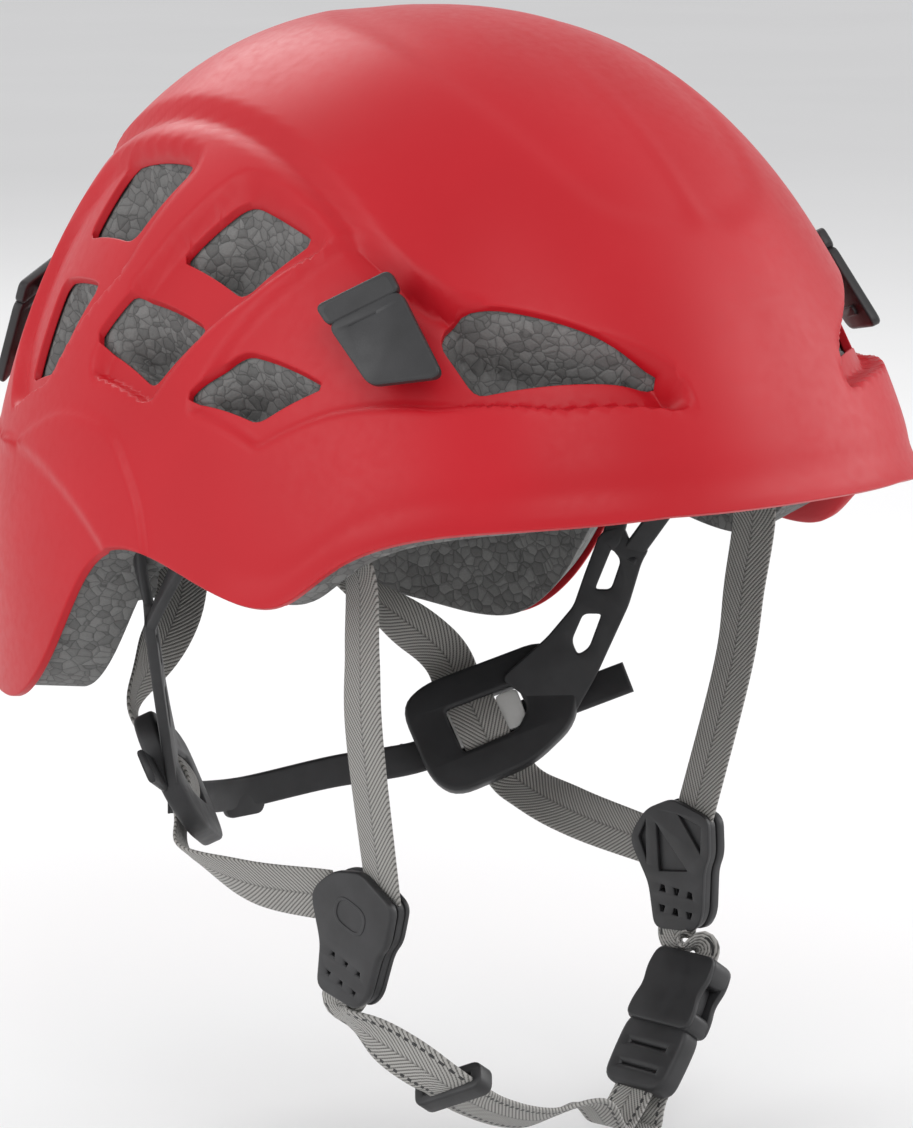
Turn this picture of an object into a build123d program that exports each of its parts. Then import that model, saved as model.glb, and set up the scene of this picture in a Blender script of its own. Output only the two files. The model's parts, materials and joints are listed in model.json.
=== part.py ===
"""Climbing helmet: hard shell over a foam liner, head cradle, straps and buckle.

Frame: +X is the wearer's left, -Y the front, +Z up. The origin is the head mount: the middle of
the head at the level of the temples. Millimetres. Pieces on the wearer's right are mirror images.
"""

from build123d import *
import os
from math import atan2, cos, degrees, hypot, radians, sin

os.makedirs("parts", exist_ok=True)

# Shell: the crown is a fan of arches, each in a plane through one axis across the head.
shell_width = 224.0
shell_length = 286.0
crown_height = 156.0
fan_axis_height = -45.0
arch_power = 2.5
shell_wall = 2.3
fan_first, fan_last, fan_step = 12.0, 192.0, 20.0
arch_end_swing = 70.0
# Side profile of the crown, as a share of the half length or of the rise, every 30 degrees.
profile_turns = (0, 30, 60, 90, 120, 150, 180)
profile_reach = (0.965, 1.035, 1.005, 1.0, 1.07, 1.087, 1.035)

# Lower edge seen from the side, front to back, as (y, z).
rim_points = [(-142, 31), (-110, 25.5), (-77, 19.5), (-62, 12), (-46, 1), (-28, 1), (-8, 6),
              (16, 10), (30, 7), (46, -11), (60, -30), (78, -42), (100, -41), (142, -33)]

# Foam liner and pads.
liner_gap = 0.6
liner_thickness = 18.0
liner_rise = 3.5
crown_split_height = 118.0
pad_gap = 1.2
pad_thickness = 5.0

# Vents as seen from the side, (y, z), on the side of the shell.
vents = {
    "upper_rear": [(59, 110), (21, 113), (38, 92), (67, 90)],
    "upper_front": [(-9, 106), (-37, 97), (-19, 81), (10, 89)],
    "lower_rear": [(77, 76), (50, 78), (67, 52), (84, 47)],
    "lower_middle": [(24, 77), (-7, 71), (11, 54), (38, 62)],
    "lower_front": [(-26, 65), (-55, 58), (-35, 47), (-8, 50)],
}
brow_vent = [(-76, 83), (-110, 75), (-122, 62), (-91, 61)]
vent_corner = 2.5
vent_reach = 14.0
liner_vent_margin = 3.5

# Headlamp clips: flap outline from its upper rear corner, along the hinge and down.
clip_outline = [(0, 0), (21.5, 0), (25, -33), (6.5, -26.5)]
clip_corner = 2.6
clip_thickness = 3.0
clip_stand_off = 2.6
clip_chamfer = 0.6
clip_foot_depth = 6.0
clip_hinge_gap = 0.8
clip_peg_radius = 2.5
clip_nub = (6.0, 2.4, 1.0)
clip_nub_rise = 4.0
clip_peg_length = 9.0
front_clip_corners = [(-48, 79), (-64, 89)]
rear_clip_fan, rear_clip_swing = 141.0, 17.0
peg_clearance = 0.15

# Head cradle: plate behind each ear, ladder arm up to the liner, nape band round the back.
plate_centre = (62.0, 51.0, -66.0)
plate_out = (0.68, 0.60, -0.42)
plate_forward = (0.732, -0.587, 0.346)
plate_outline = [(-23, -10), (-15, -14), (24, -14), (31, -4), (24, 12), (8, 19), (-17, 20), (-22, 13)]
plate_thickness = 7.0
plate_corner = 4.0
plate_window = (28.0, 17.0)
plate_window_centre = (0.0, 2.0)
arm_out = (0.739, 0.666, -0.101)
arm_up = (0.446, -0.371, 0.815)
arm_outline = [(-2, 12), (22, 12), (20, 30), (15.5, 53), (11, 66), (10, 72), (0, 72), (-3.5, 66),
               (0, 53), (3, 43), (2, 30)]
arm_windows = [[(0.8, 65), (6.5, 63.5), (9.5, 53.5), (4.4, 50)],
               [(5.6, 43), (11.2, 47), (14.5, 35), (12.5, 30.5), (7.7, 33.4)]]
arm_thickness = 3.0
branch_width = 6.5
branch_ends = [(98.0, 25.0), (99.0, -2.0)]
branch_top = 6.0
peg_radius = 2.6
peg_top = 24.0

band_width = 10.0
band_thickness = 2.2
band_clearance = 0.8
band_shift = (4.5, 2.0)
band_leg = (44.0, -31.0)
band_back = [(27.5, 84.0, -84.5), (0.0, 94.0, -88.5)]

lock_size = (24.0, 11.0)
lock_thickness = 1.4
lock_travel = 2.0
lock_layer = -1.7
pass_layer = -2.9

# Webbing.
webbing_width = 15.0
webbing_thickness = 1.5
strap_clear = 0.4
front_strap_root = (-45.0, 30.0)
front_strap_sink = 5.0
front_strap_route = [(78.0, -46.5, 8.0), (73.0, -43.0, -40.0)]
rear_strap_route = [(10.0, 108.0, 8.0), (33.0, 84.0, -24.0)]
rear_strap_below = (65.5, 14.0, -92.0)
# Where the rear strap crosses each cradle plate, as forward and down on the plate.
strap_over, strap_in, strap_out, strap_leave = (-7, -27), (-5, -8), (-1, 11), (3, 24)
strap_pass_ends = [(-3.5, -5.0), (-2.5, 9.0)]

# Dividers where front and rear straps meet below each ear; forward, up from the centre.
divider_centre = (65.0, -31.0, -99.0)
divider_tilt = {"left": 2.0, "right": 20.0}
divider_outline = [(-12, 14), (-2, 19), (13, 16), (14, 5), (12, 0), (12, -14), (9, -19), (-7, -21),
                   (-10, -8), (-18, 3), (-17, 7)]
divider_body_thickness = 4.0
cover_thickness = 3.0
cover_gap = 0.4
cover_margin = 0.8
divider_window = [(-7, 10), (7, -3), (-6, -3)]
divider_corner = 1.8
grip_hole = (3.0, 3.4)
grip_pitch = (5.2, 6.0)
grip_centre = (1.5, -12.5)

# Side-release buckle below the wearer's left cheek.
buckle_centre = (52.0, -38.0, -144.0)
buckle_up = (0.57, 0.0, 0.82)
socket_width, socket_length, socket_thickness = 24.0, 22.0, 10.0
socket_bottom = -2.0
socket_wall = 2.2
socket_head = 5.0
side_window_low, side_window_length = 3.0, 10.0
plug_width, plug_length, plug_thickness = 22.0, 19.0, 8.0
tongue_width, tongue_length = 4.0, 15.0
prong_width, prong_length = 4.0, 14.0
prong_offset = 6.9
prong_gap, prong_hinge = 0.8, 1.5
running_gap = 0.4
ladder_slot = (17.0, 3.4)
ladder_pitch = 7.0
tail_points = [(8.0, 0.0), (-2.0, 0.6), (-9.0, 4.0)]

# Chin strap route from the right divider under the chin to the plug, with its width directions.
chin_route = [((-53.5, -50.0, -138.0), (0.10, -1.0, 0.10)), ((-34.0, -49.0, -151.0), (0.05, -0.95, 0.3)),
              ((-10.0, -46.0, -160.0), (0.0, -0.9, 0.42)), ((14.0, -43.0, -161.0), (0.0, -0.97, 0.2))]
keeper_length = 6.0
keeper_wall = 1.6
keeper_clearance = 1.5
keeper_station, keeper_share = 1, 0.4


def unit(v):
    """The vector v at length one."""
    return Vector(*v).normalized()


def reach(turn):
    """Share of the half length or rise at a fan turn in degrees, smooth between the given turns."""
    step = profile_turns[1]
    turn = min(max(turn, 0.0), 180.0)
    low = min(int(turn // step), len(profile_turns) - 2)
    f = (turn - profile_turns[low]) / step
    p = [profile_reach[min(max(low + k, 0), len(profile_reach) - 1)] for k in (-1, 0, 1, 2)]
    return (p[1] + 0.5 * f * (p[2] - p[0] + f * (2 * p[0] - 5 * p[1] + 4 * p[2] - p[3]
            + f * (3 * (p[1] - p[2]) + p[3] - p[0]))))


def arch_radius(turn, inset):
    """Distance from the fan axis to the crown's middle line in the plane at this turn."""
    rise = crown_height - fan_axis_height
    c, s = cos(radians(turn)) / (shell_length / 2), sin(radians(turn)) / rise
    return reach(turn) * hypot(c, s) ** -1 - inset


def arch_point(turn, swing, inset):
    """Point on the crown: superellipse arch in the plane at turn, swing from the middle line."""
    half, radius = shell_width / 2 - inset, arch_radius(turn, inset)
    a, b = sin(radians(swing)), cos(radians(swing))
    rho = ((abs(a) / half) ** arch_power + (abs(b) / radius) ** arch_power) ** (-1 / arch_power)
    return rho * a, rho * b


def skin(turn, swing, inset=0.0):
    """Point in space on the crown surface."""
    x, r = arch_point(turn, swing, inset)
    return Vector(x, -r * cos(radians(turn)), fan_axis_height + r * sin(radians(turn)))


def side_skin(y, z, inset=0.0):
    """Point on the left half of the crown surface at this y and z."""
    turn = degrees(atan2(z - fan_axis_height, -y))
    share = hypot(y, z - fan_axis_height) / arch_radius(turn, inset)
    x = (shell_width / 2 - inset) * max(0.0, 1 - share ** arch_power) ** (1 / arch_power)
    return Vector(x, y, z)


def skin_normal(p, inset=0.0):
    """Outward normal of the crown surface at its point p."""
    turn = degrees(atan2(p.Z - fan_axis_height, -p.Y))
    swing = degrees(atan2(p.X, hypot(p.Y, p.Z - fan_axis_height)))
    along = skin(turn + 1, swing, inset) - skin(turn - 1, swing, inset)
    across = skin(turn, swing + 1, inset) - skin(turn, swing - 1, inset)
    n = across.cross(along).normalized()
    return n if n.dot(p - Vector(0, 0, fan_axis_height)) > 0 else n * -1


def fan_plane(turn):
    """Plane through the fan axis: x across the head, y away from the axis."""
    return Plane(origin=(0, 0, fan_axis_height), x_dir=(1, 0, 0),
                 z_dir=(0, -sin(radians(turn)), -cos(radians(turn))))


def crown_layer(outer, inner, turns, swing_from, swing_to, samples=13):
    """Closed layer of the crown between two insets: a loft of thin arch sections."""
    swings = [swing_from + (swing_to - swing_from) * k / (samples - 1) for k in range(samples)]
    with BuildPart() as layer:
        for turn in turns:
            with BuildSketch(fan_plane(turn)):
                with BuildLine():
                    outside = Spline(*[arch_point(turn, s, outer) for s in swings])
                    inside = Spline(*[arch_point(turn, s, inner) for s in swings])
                    Line(outside @ 0, inside @ 0)
                    Line(outside @ 1, inside @ 1)
                make_face()
        loft()
    return layer.part


def below_rim(rise):
    """Everything under the lower edge raised by this much, as one cutter across the head."""
    front, back, floor, side = -shell_length, shell_length, -shell_length, shell_width
    scale = shell_length / (rim_points[-1][0] - rim_points[0][0])
    edge = [(y * scale, z + rise) for y, z in rim_points]
    with BuildPart() as cutter:
        with BuildSketch(Plane.YZ):
            with BuildLine():
                curve = Spline(*edge)
                Polyline(curve @ 1, (back, edge[-1][1]), (back, floor), (front, floor),
                         (front, edge[0][1]), curve @ 0)
            make_face()
        extrude(amount=side, both=True)
    return cutter.part


def opening(corners, side, margin=0.0, outward=vent_reach, inward=vent_reach):
    """Cutter for one vent: rounded outline in the plane that faces out at its middle."""
    points = [side_skin(y, z) for y, z in corners]
    points = [Vector(side * p.X, p.Y, p.Z) for p in points]
    middle = sum(points, Vector()) / len(points)
    flat_middle = side_skin(middle.Y, middle.Z)
    normal = skin_normal(flat_middle)
    plane = Plane(origin=middle, x_dir=(0, -1, 0), z_dir=(side * normal.X, normal.Y, normal.Z))
    flat = [plane.to_local_coords(p) for p in points]
    with BuildPart() as cutter:
        with BuildSketch(plane) as outline:
            with BuildLine():
                Polyline(*[(p.X, p.Y) for p in flat], close=True)
            make_face()
            if margin:
                offset(amount=-margin)
            fillet(outline.vertices(), radius=vent_corner)
        extrude(amount=outward, dir=plane.z_dir)
        extrude(outline.sketch, amount=-inward, dir=plane.z_dir)
    return cutter.part


def bar(stations, width, thickness):
    """Flat bar or strap lofted through stations: point, width direction and, if given, heading."""
    points = [Vector(*station[0]) for station in stations]
    with BuildPart() as piece:
        for k, (_, across, *heading) in enumerate(stations):
            ahead, behind = points[min(k + 1, len(points) - 1)], points[max(k - 1, 0)]
            tangent = unit(heading[0]) if heading else (ahead - behind).normalized()
            side_way = Vector(*across)
            side_way = (side_way - tangent * side_way.dot(tangent)).normalized()
            with BuildSketch(Plane(origin=points[k], x_dir=side_way, z_dir=tangent)):
                Rectangle(width, thickness)
        loft()
    return piece.part


def keep(part, name):
    """Label a finished piece and write it."""
    part.label = name
    export_step(part, f"parts/{name}.step")


def keep_pair(part, name):
    """Write a piece of the wearer's left and its mirror image for the right."""
    keep(part, name + "_left")
    keep(mirror(part, about=Plane.YZ), name + "_right")


# Headlamp clips -------------------------------------------------------------
def clip_plane(upper_rear, upper_front, middle):
    """Plane of a clip: x along its hinge, z away from the shell."""
    normal = skin_normal(middle)
    along = upper_front - upper_rear
    along = (along - normal * along.dot(normal)).normalized()
    return Plane(origin=middle + normal * clip_stand_off, x_dir=along, z_dir=normal)


clip_middle = Vector(sum(x for x, _ in clip_outline) / 4, sum(y for _, y in clip_outline) / 4)
upper_rear, upper_front = [side_skin(y, z) for y, z in front_clip_corners]
hinge_way = (upper_front - upper_rear).normalized()
down_way = hinge_way.cross(skin_normal(upper_rear)).normalized()
if down_way.Z > 0:
    down_way = down_way * -1
front_middle = upper_rear + hinge_way * clip_middle.X - down_way * clip_middle.Y
front_middle = side_skin(front_middle.Y, front_middle.Z)
rear_middle = skin(rear_clip_fan, rear_clip_swing)
clip_planes = {
    "front": clip_plane(upper_rear, upper_front, front_middle),
    "rear": clip_plane(Vector(0, 0, 0), Vector(1, 0.25, 0), rear_middle),
}
clip_pegs = []
for place, plane in clip_planes.items():
    down = -1 if plane.y_dir.Z > 0 else 1
    outline = [(x - clip_middle.X, -down * (y - clip_middle.Y)) for x, y in clip_outline]
    top = outline[0][1]
    hinge_line = top + down * clip_foot_depth
    with BuildPart() as whole:
        with BuildSketch(plane) as shape:
            with BuildLine():
                Polyline(*outline, close=True)
            make_face()
            fillet(shape.vertices(), radius=clip_corner)
        extrude(amount=clip_thickness)
        chamfer(whole.faces().sort_by(Axis(plane.origin, plane.z_dir))[-1].edges(), length=clip_chamfer)
    peg_x = (outline[0][0] + outline[1][0]) / 2
    peg_plane = Plane(origin=plane.from_local_coords((peg_x, top + down * clip_foot_depth / 2, 0)),
                      x_dir=plane.x_dir, z_dir=plane.z_dir)
    foot_plane = Plane(origin=plane.from_local_coords((0, hinge_line, 0)), x_dir=plane.x_dir,
                       z_dir=plane.y_dir)
    with BuildPart() as foot:
        add(whole.part)
        split(bisect_by=foot_plane.offset(-down * clip_hinge_gap / 2),
              keep=Keep.BOTTOM if down > 0 else Keep.TOP)
        with BuildSketch(peg_plane):
            Circle(clip_peg_radius)
        extrude(amount=-clip_peg_length)
    with BuildPart() as flap:
        add(whole.part)
        split(bisect_by=foot_plane.offset(down * clip_hinge_gap / 2),
              keep=Keep.TOP if down > 0 else Keep.BOTTOM)
        nub_plane = Plane(origin=plane.from_local_coords(((outline[2][0] + outline[3][0]) / 2,
                          (outline[2][1] + outline[3][1]) / 2 - down * clip_nub_rise, 0)),
                          x_dir=plane.x_dir, z_dir=plane.z_dir)
        with BuildSketch(nub_plane):
            Rectangle(*clip_nub[:2])
        extrude(amount=-clip_nub[2])
    keep_pair(foot.part, f"clip_foot_{place}")
    keep_pair(flap.part, f"headlamp_clip_{place}")
    with BuildPart() as peg_hole:
        with BuildSketch(peg_plane):
            Circle(clip_peg_radius + peg_clearance)
        extrude(amount=-clip_peg_length - 1)
    clip_pegs += [peg_hole.part, mirror(peg_hole.part, about=Plane.YZ)]
    hinge = plane.from_local_coords((0, hinge_line, clip_thickness / 2))
    print("clip", place, "hinge", hinge, "axis", plane.x_dir, "down", down)

# Shell and liner ------------------------------------------------------------
turns = [fan_first + fan_step * k for k in range(int((fan_last - fan_first) / fan_step) + 1)]
all_vents = [opening(v, side) for v in vents.values() for side in (1, -1)]
brow_cuts = [opening(brow_vent, side) for side in (1, -1)]
with BuildPart() as outer_shell:
    add(crown_layer(0, shell_wall, turns, -arch_end_swing, arch_end_swing))
    for cutter in [below_rim(0.0)] + all_vents + brow_cuts + clip_pegs:
        add(cutter, mode=Mode.SUBTRACT)
keep(outer_shell.part, "outer_shell")

liner_out, liner_in = shell_wall + liner_gap, shell_wall + liner_gap + liner_thickness
liner_blank = crown_layer(liner_out, liner_in, turns, -arch_end_swing, arch_end_swing)
arm_pegs = []
for x, y in branch_ends:
    for side in (1, -1):
        with BuildPart() as peg_hole:
            with BuildSketch(Plane((side * x, y, branch_top))):
                Circle(peg_radius + peg_clearance)
            extrude(amount=peg_top - branch_top + 1)
        arm_pegs.append(peg_hole.part)
liner_cuts = [opening(v, side, margin=liner_vent_margin, inward=2.5 * liner_thickness)
              for v in vents.values() for side in (1, -1)]
with BuildPart() as liner_side:
    add(liner_blank)
    for cutter in [below_rim(liner_rise)] + liner_cuts + clip_pegs + arm_pegs:
        add(cutter, mode=Mode.SUBTRACT)
    split(bisect_by=Plane.XY.offset(crown_split_height), keep=Keep.BOTTOM)
keep(liner_side.part, "liner_side")
with BuildPart() as liner_crown:
    add(liner_blank)
    for cutter in liner_cuts:
        add(cutter, mode=Mode.SUBTRACT)
    split(bisect_by=Plane.XY.offset(crown_split_height), keep=Keep.TOP)
keep(liner_crown.part, "liner_crown")

# Comfort pads ---------------------------------------------------------------
pad_out, pad_in = liner_in + pad_gap, liner_in + pad_gap + pad_thickness
keep(crown_layer(pad_out, pad_in, (38, 46, 54), -36, 36, 9), "brow_pad")
keep(crown_layer(pad_out, pad_in, (72, 84, 96, 108, 120), -11, 11, 5), "crown_pad")
keep_pair(crown_layer(pad_out, pad_in, (135, 145, 155), 9, 32, 5), "nape_pad")

# Head cradle ----------------------------------------------------------------
plate_plane = Plane(origin=plate_centre, x_dir=unit(plate_forward), z_dir=unit(plate_out))
band_centre = plate_plane.from_local_coords((0, band_shift[0], band_shift[1]))
arm_across = unit(arm_out).cross(unit(arm_up))
arm_plane = Plane(origin=plate_centre, x_dir=arm_across, z_dir=unit(arm_out))
arm_sign = 1 if arm_plane.y_dir.dot(unit(arm_up)) > 0 else -1


def arm_xy(points):
    """Arm outline points (across, up) in the arm plane's own x and y."""
    return [(x, arm_sign * y) for x, y in points]


tunnel = (band_thickness + 2 * band_clearance, band_width + 2 * band_clearance)
with BuildPart() as cradle:
    with BuildSketch(plate_plane) as plate:
        with BuildLine():
            Polyline(*[(u, v) for u, v in plate_outline], close=True)
        make_face()
        fillet(plate.vertices(), radius=plate_corner)
    extrude(amount=plate_thickness / 2, both=True)
    with BuildSketch(arm_plane):
        with BuildLine():
            Polyline(*arm_xy(arm_outline), close=True)
        make_face()
        for window in arm_windows:
            with BuildLine():
                Polyline(*arm_xy(window), close=True)
            make_face(mode=Mode.SUBTRACT)
    extrude(amount=arm_thickness / 2, both=True)
    for (across, up), (x, y) in zip([(-0.5, 68), (7.5, 68)], branch_ends):
        start = arm_plane.from_local_coords((across, arm_sign * up, 0))
        knee = Vector(x * 0.6 + start.X * 0.4, y * 0.5 + start.Y * 0.5, branch_top * 0.55 + start.Z * 0.45)
        route = [(tuple(start), (0.5, -0.65, 0.0)), (tuple(knee), (0.4, -0.8, 0.0)),
                 ((x, y, branch_top), (0.1, -1.0, 0.0))]
        add(bar(route, branch_width, arm_thickness))
        with BuildSketch(Plane((x, y, branch_top - 2))):
            Circle(peg_radius)
        extrude(amount=peg_top - branch_top + 2)
    with BuildSketch(plate_plane):
        with Locations(plate_window_centre):
            Rectangle(*plate_window)
    extrude(amount=2 * plate_thickness, both=True, mode=Mode.SUBTRACT)
    tunnel_plane = Plane(origin=band_centre, x_dir=plate_plane.y_dir, z_dir=plate_plane.x_dir)
    with BuildSketch(tunnel_plane):
        Rectangle(tunnel[1], tunnel[0])
    extrude(amount=3 * plate_window[0], both=True, mode=Mode.SUBTRACT)
keep_pair(cradle.part, "cradle")

# Nape band: a straight leg through each plate, joined by a curve round the back.
leg_ways = (tuple(plate_plane.y_dir), tuple(plate_plane.x_dir * -1))
leg_front, leg_rear = [tuple(plate_plane.from_local_coords((u, *band_shift))) for u in band_leg]
leg = bar([(leg_front, *leg_ways), (leg_rear, *leg_ways)], band_width, band_thickness)
half_curve = [(leg_rear, *leg_ways)] + [(place, (0.0, 0.0, -1.0)) for place in band_back]
other_half = [((-x, y, z), (-a, b, c), *[(i, -j, -k) for i, j, k in heading])
              for (x, y, z), (a, b, c), *heading in reversed(half_curve[:-1])]
with BuildPart() as nape_band:
    add(leg)
    add(mirror(leg, about=Plane.YZ))
    add(bar(half_curve + other_half, band_width, band_thickness))
keep(nape_band.part, "nape_band")

# Size locks: sliders in each plate window, with a waist where the webbing crosses them.
with BuildPart() as size_lock:
    with BuildSketch(plate_plane.offset(lock_layer)):
        with Locations((plate_window_centre[0] - lock_travel / 2, plate_window_centre[1])):
            RectangleRounded(lock_size[0], lock_size[1], 2)
            with GridLocations(0, lock_size[1], 1, 2):
                Rectangle(lock_size[0] / 3, lock_size[1] / 4, mode=Mode.SUBTRACT)
    extrude(amount=lock_thickness)
keep_pair(size_lock.part, "size_lock")

# Straps ---------------------------------------------------------------------
divider_planes = {}
for side_name, side in (("left", 1), ("right", -1)):
    tilt = radians(divider_tilt[side_name])
    x, y, z = divider_centre
    divider_planes[side_name] = Plane(origin=(side * x, y, z), x_dir=(0, -cos(tilt), -sin(tilt)),
                                      z_dir=(1, 0, 0))

for side_name, side in (("left", 1), ("right", -1)):
    plane = divider_planes[side_name]
    up = 1 if plane.y_dir.Z > 0 else -1

    def spot(forward, upward, out=0.0):
        """Place on this divider: forward, up and outward from its centre."""
        return plane.from_local_coords((forward, up * upward, side * out))

    top = spot(5, 19.2 + strap_clear, -divider_body_thickness / 2)
    root = side_skin(*front_strap_root, liner_in)
    down_way = tuple(plane.y_dir * -up)
    (x0, y0, z0), (x1, y1, z1) = front_strap_route
    route = [((side * (root.X - front_strap_sink), root.Y, root.Z), (0.15 * side, -1, 0)),
             ((side * x0, y0, z0), (0.15 * side, -1, 0)),
             ((side * x1, y1, z1), (0, -1, 0)),
             (tuple(top), tuple(plane.x_dir), down_way)]
    keep(bar(route, webbing_width, webbing_thickness), f"front_strap_{side_name}")
    outside = plate_thickness / 2 + webbing_thickness / 2 + strap_clear
    wide, fall = tuple(plate_plane.x_dir), tuple(plate_plane.y_dir)
    over = plate_plane.from_local_coords((*strap_over, plate_thickness / 2 + strap_clear))
    outer = plate_plane.from_local_coords((*strap_in, outside))
    route = [(rear_strap_route[0], (0.6, 0.4, 0.3)), (rear_strap_route[1], (0.5, 0.5, 0.3)),
             (tuple(over), wide), (tuple(outer), wide, fall)]
    route = [tuple((side * x, y, z) for x, y, z in station) for station in route]
    keep(bar(route, webbing_width, webbing_thickness), f"rear_strap_upper_{side_name}")
    lower = plate_plane.from_local_coords((*strap_out, outside))
    clear = plate_plane.from_local_coords((*strap_leave, outside + 1))
    back = spot(-18.2 - strap_clear, 4, -divider_body_thickness / 2)
    forward_way = tuple(plane.x_dir)
    route = [(tuple(lower), wide, fall), (tuple(clear), wide), (rear_strap_below, (0.35, 0, 0.9))]
    route = [tuple((side * x, y, z) for x, y, z in station) for station in route]
    route.append((tuple(back), tuple(plane.y_dir * up), forward_way))
    keep(bar(route, webbing_width, webbing_thickness), f"rear_strap_lower_{side_name}")
    window = [plate_plane.from_local_coords((u, v, pass_layer)) for u, v in strap_pass_ends]
    route = [((side * p.X, p.Y, p.Z), (side * wide[0], wide[1], wide[2])) for p in window]
    keep(bar(route, webbing_width, webbing_thickness), f"strap_pass_{side_name}")

    # Divider: inner body with slots and an outer cover that swings open to free the webbing.
    with BuildPart() as body:
        with BuildSketch(plane) as shape:
            with BuildLine():
                Polyline(*[(f, up * u) for f, u in divider_outline], close=True)
            make_face()
            fillet(shape.vertices(), radius=divider_corner)
        extrude(amount=-side * divider_body_thickness)
        with BuildSketch(plane):
            with Locations((grip_centre[0], up * grip_centre[1])):
                with GridLocations(grip_pitch[0], grip_pitch[1], 3, 2):
                    Rectangle(*grip_hole)
            with BuildLine():
                Polyline(*[(f, up * u) for f, u in divider_window], close=True)
            make_face()
        extrude(amount=-side * divider_body_thickness, mode=Mode.SUBTRACT)
    keep(body.part, f"divider_body_{side_name}")
    with BuildPart() as cover:
        with BuildSketch(plane.offset(side * cover_gap)) as shape:
            with BuildLine():
                Polyline(*[(f, up * u) for f, u in divider_outline], close=True)
            make_face()
            offset(amount=-cover_margin)
            fillet(shape.vertices(), radius=divider_corner)
        extrude(amount=side * cover_thickness)
        with BuildSketch(plane.offset(side * cover_gap)):
            with Locations((grip_centre[0], up * grip_centre[1])):
                with GridLocations(grip_pitch[0], grip_pitch[1], 3, 2):
                    Rectangle(*grip_hole)
        extrude(amount=side * cover_thickness, mode=Mode.SUBTRACT)
    keep(cover.part, f"divider_cover_{side_name}")
    print("divider", side_name, "hinge", spot(0, -20.6, cover_gap + cover_thickness / 2), "axis", plane.x_dir)

# Buckle ---------------------------------------------------------------------
axis_up = unit(buckle_up)
buckle = Plane(origin=buckle_centre, x_dir=(0, -1, 0), z_dir=Vector(0, -1, 0).cross(axis_up))


def block(x, y, z, plane=buckle):
    """Box from its low and high ends along the plane's x, y and z."""
    with BuildPart(plane) as piece:
        with Locations(((x[0] + x[1]) / 2, (y[0] + y[1]) / 2, (z[0] + z[1]) / 2)):
            Box(x[1] - x[0], y[1] - y[0], z[1] - z[0])
    return piece.part


half_w, half_t = socket_width / 2, socket_thickness / 2
socket_top = socket_bottom + socket_length
cavity = (half_w - socket_wall, half_t - socket_wall)
with BuildPart() as socket:
    add(block((-half_w, half_w), (socket_bottom, socket_top), (-half_t, half_t)))
    fillet(socket.edges().filter_by(Axis((0, 0, 0), buckle.z_dir)), radius=3)
    side_window = (side_window_low, side_window_low + side_window_length)
    mouth = (socket_bottom - 1, socket_top - socket_head)
    cuts = [block((-cavity[0], cavity[0]), mouth, (-cavity[1], cavity[1])),
            block((-half_w - 1, half_w + 1), side_window, (-cavity[1], cavity[1]))]
    for cut in cuts:
        add(cut, mode=Mode.SUBTRACT)
keep(socket.part, "buckle_socket")

plug_top = socket_bottom - running_gap
plug_low = plug_top - plug_length
with BuildPart() as plug:
    add(block((-plug_width / 2, plug_width / 2), (plug_low, plug_top),
              (-plug_thickness / 2, plug_thickness / 2)))
    fillet(plug.edges().filter_by(Axis((0, 0, 0), buckle.z_dir)), radius=2.5)
    add(block((-tongue_width / 2, tongue_width / 2), (plug_top - 1, plug_top + tongue_length),
              (-cavity[1] + running_gap, cavity[1] - running_gap)))
    for k in (1, 2):
        low = plug_low + ladder_pitch * k - 4
        add(block((-ladder_slot[0] / 2, ladder_slot[0] / 2), (low, low + ladder_slot[1]),
                  (-plug_thickness, plug_thickness)), mode=Mode.SUBTRACT)
keep(plug.part, "buckle_plug")
for side_name, way in (("rear", -1), ("front", 1)):
    x = sorted((way * (prong_offset - prong_width / 2), way * (prong_offset + prong_width / 2)))
    with BuildPart() as prong:
        add(block(x, (plug_top + prong_gap, plug_top + prong_gap + prong_length),
                  (-cavity[1] + running_gap, cavity[1] - running_gap)))
        fillet(prong.edges().filter_by(Axis((0, 0, 0), buckle.z_dir)), radius=1.2)
    keep(prong.part, f"buckle_prong_{side_name}")
    hinge = buckle.from_local_coords((way * prong_offset, plug_top + prong_hinge, 0))
    print("prong", side_name, "hinge", hinge)

# Short strap from the left divider to the socket.
left = divider_planes["left"]
left_up = 1 if left.y_dir.Z > 0 else -1
start = left.from_local_coords((1.0, left_up * (-20.8 - strap_clear), -divider_body_thickness / 2))
end = buckle.from_local_coords((0, socket_top + strap_clear, 0))
route = [(tuple(start), tuple(left.x_dir), tuple(left.y_dir * -left_up)),
         (tuple(end), tuple(buckle.x_dir), tuple(axis_up * -1))]
keep(bar(route, webbing_width, webbing_thickness), "chin_strap_short")

# Chin strap, keeper and free end.
right = divider_planes["right"]
right_up = 1 if right.y_dir.Z > 0 else -1
start = right.from_local_coords((1.0, right_up * (-20.8 - strap_clear), divider_body_thickness / 2))
end = buckle.from_local_coords((0, plug_low - 0.3, 0))
approach = buckle.from_local_coords((0, plug_low - 14, 3.5))
route = [(tuple(start), tuple(right.x_dir), tuple(right.y_dir * -right_up))] + chin_route
route += [(tuple(approach), (0, -1, 0)), (tuple(end), (0, -1, 0), tuple(axis_up))]
keep(bar(route, webbing_width, webbing_thickness), "chin_strap")
tail_out = plug_thickness / 2 + webbing_thickness / 2 + strap_clear
tail = [tuple(buckle.from_local_coords((0, plug_low + y, -tail_out - z))) for y, z in tail_points]
keep(bar([(spot, (0, -1, 0)) for spot in tail], webbing_width, webbing_thickness), "chin_strap_tail")

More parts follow.
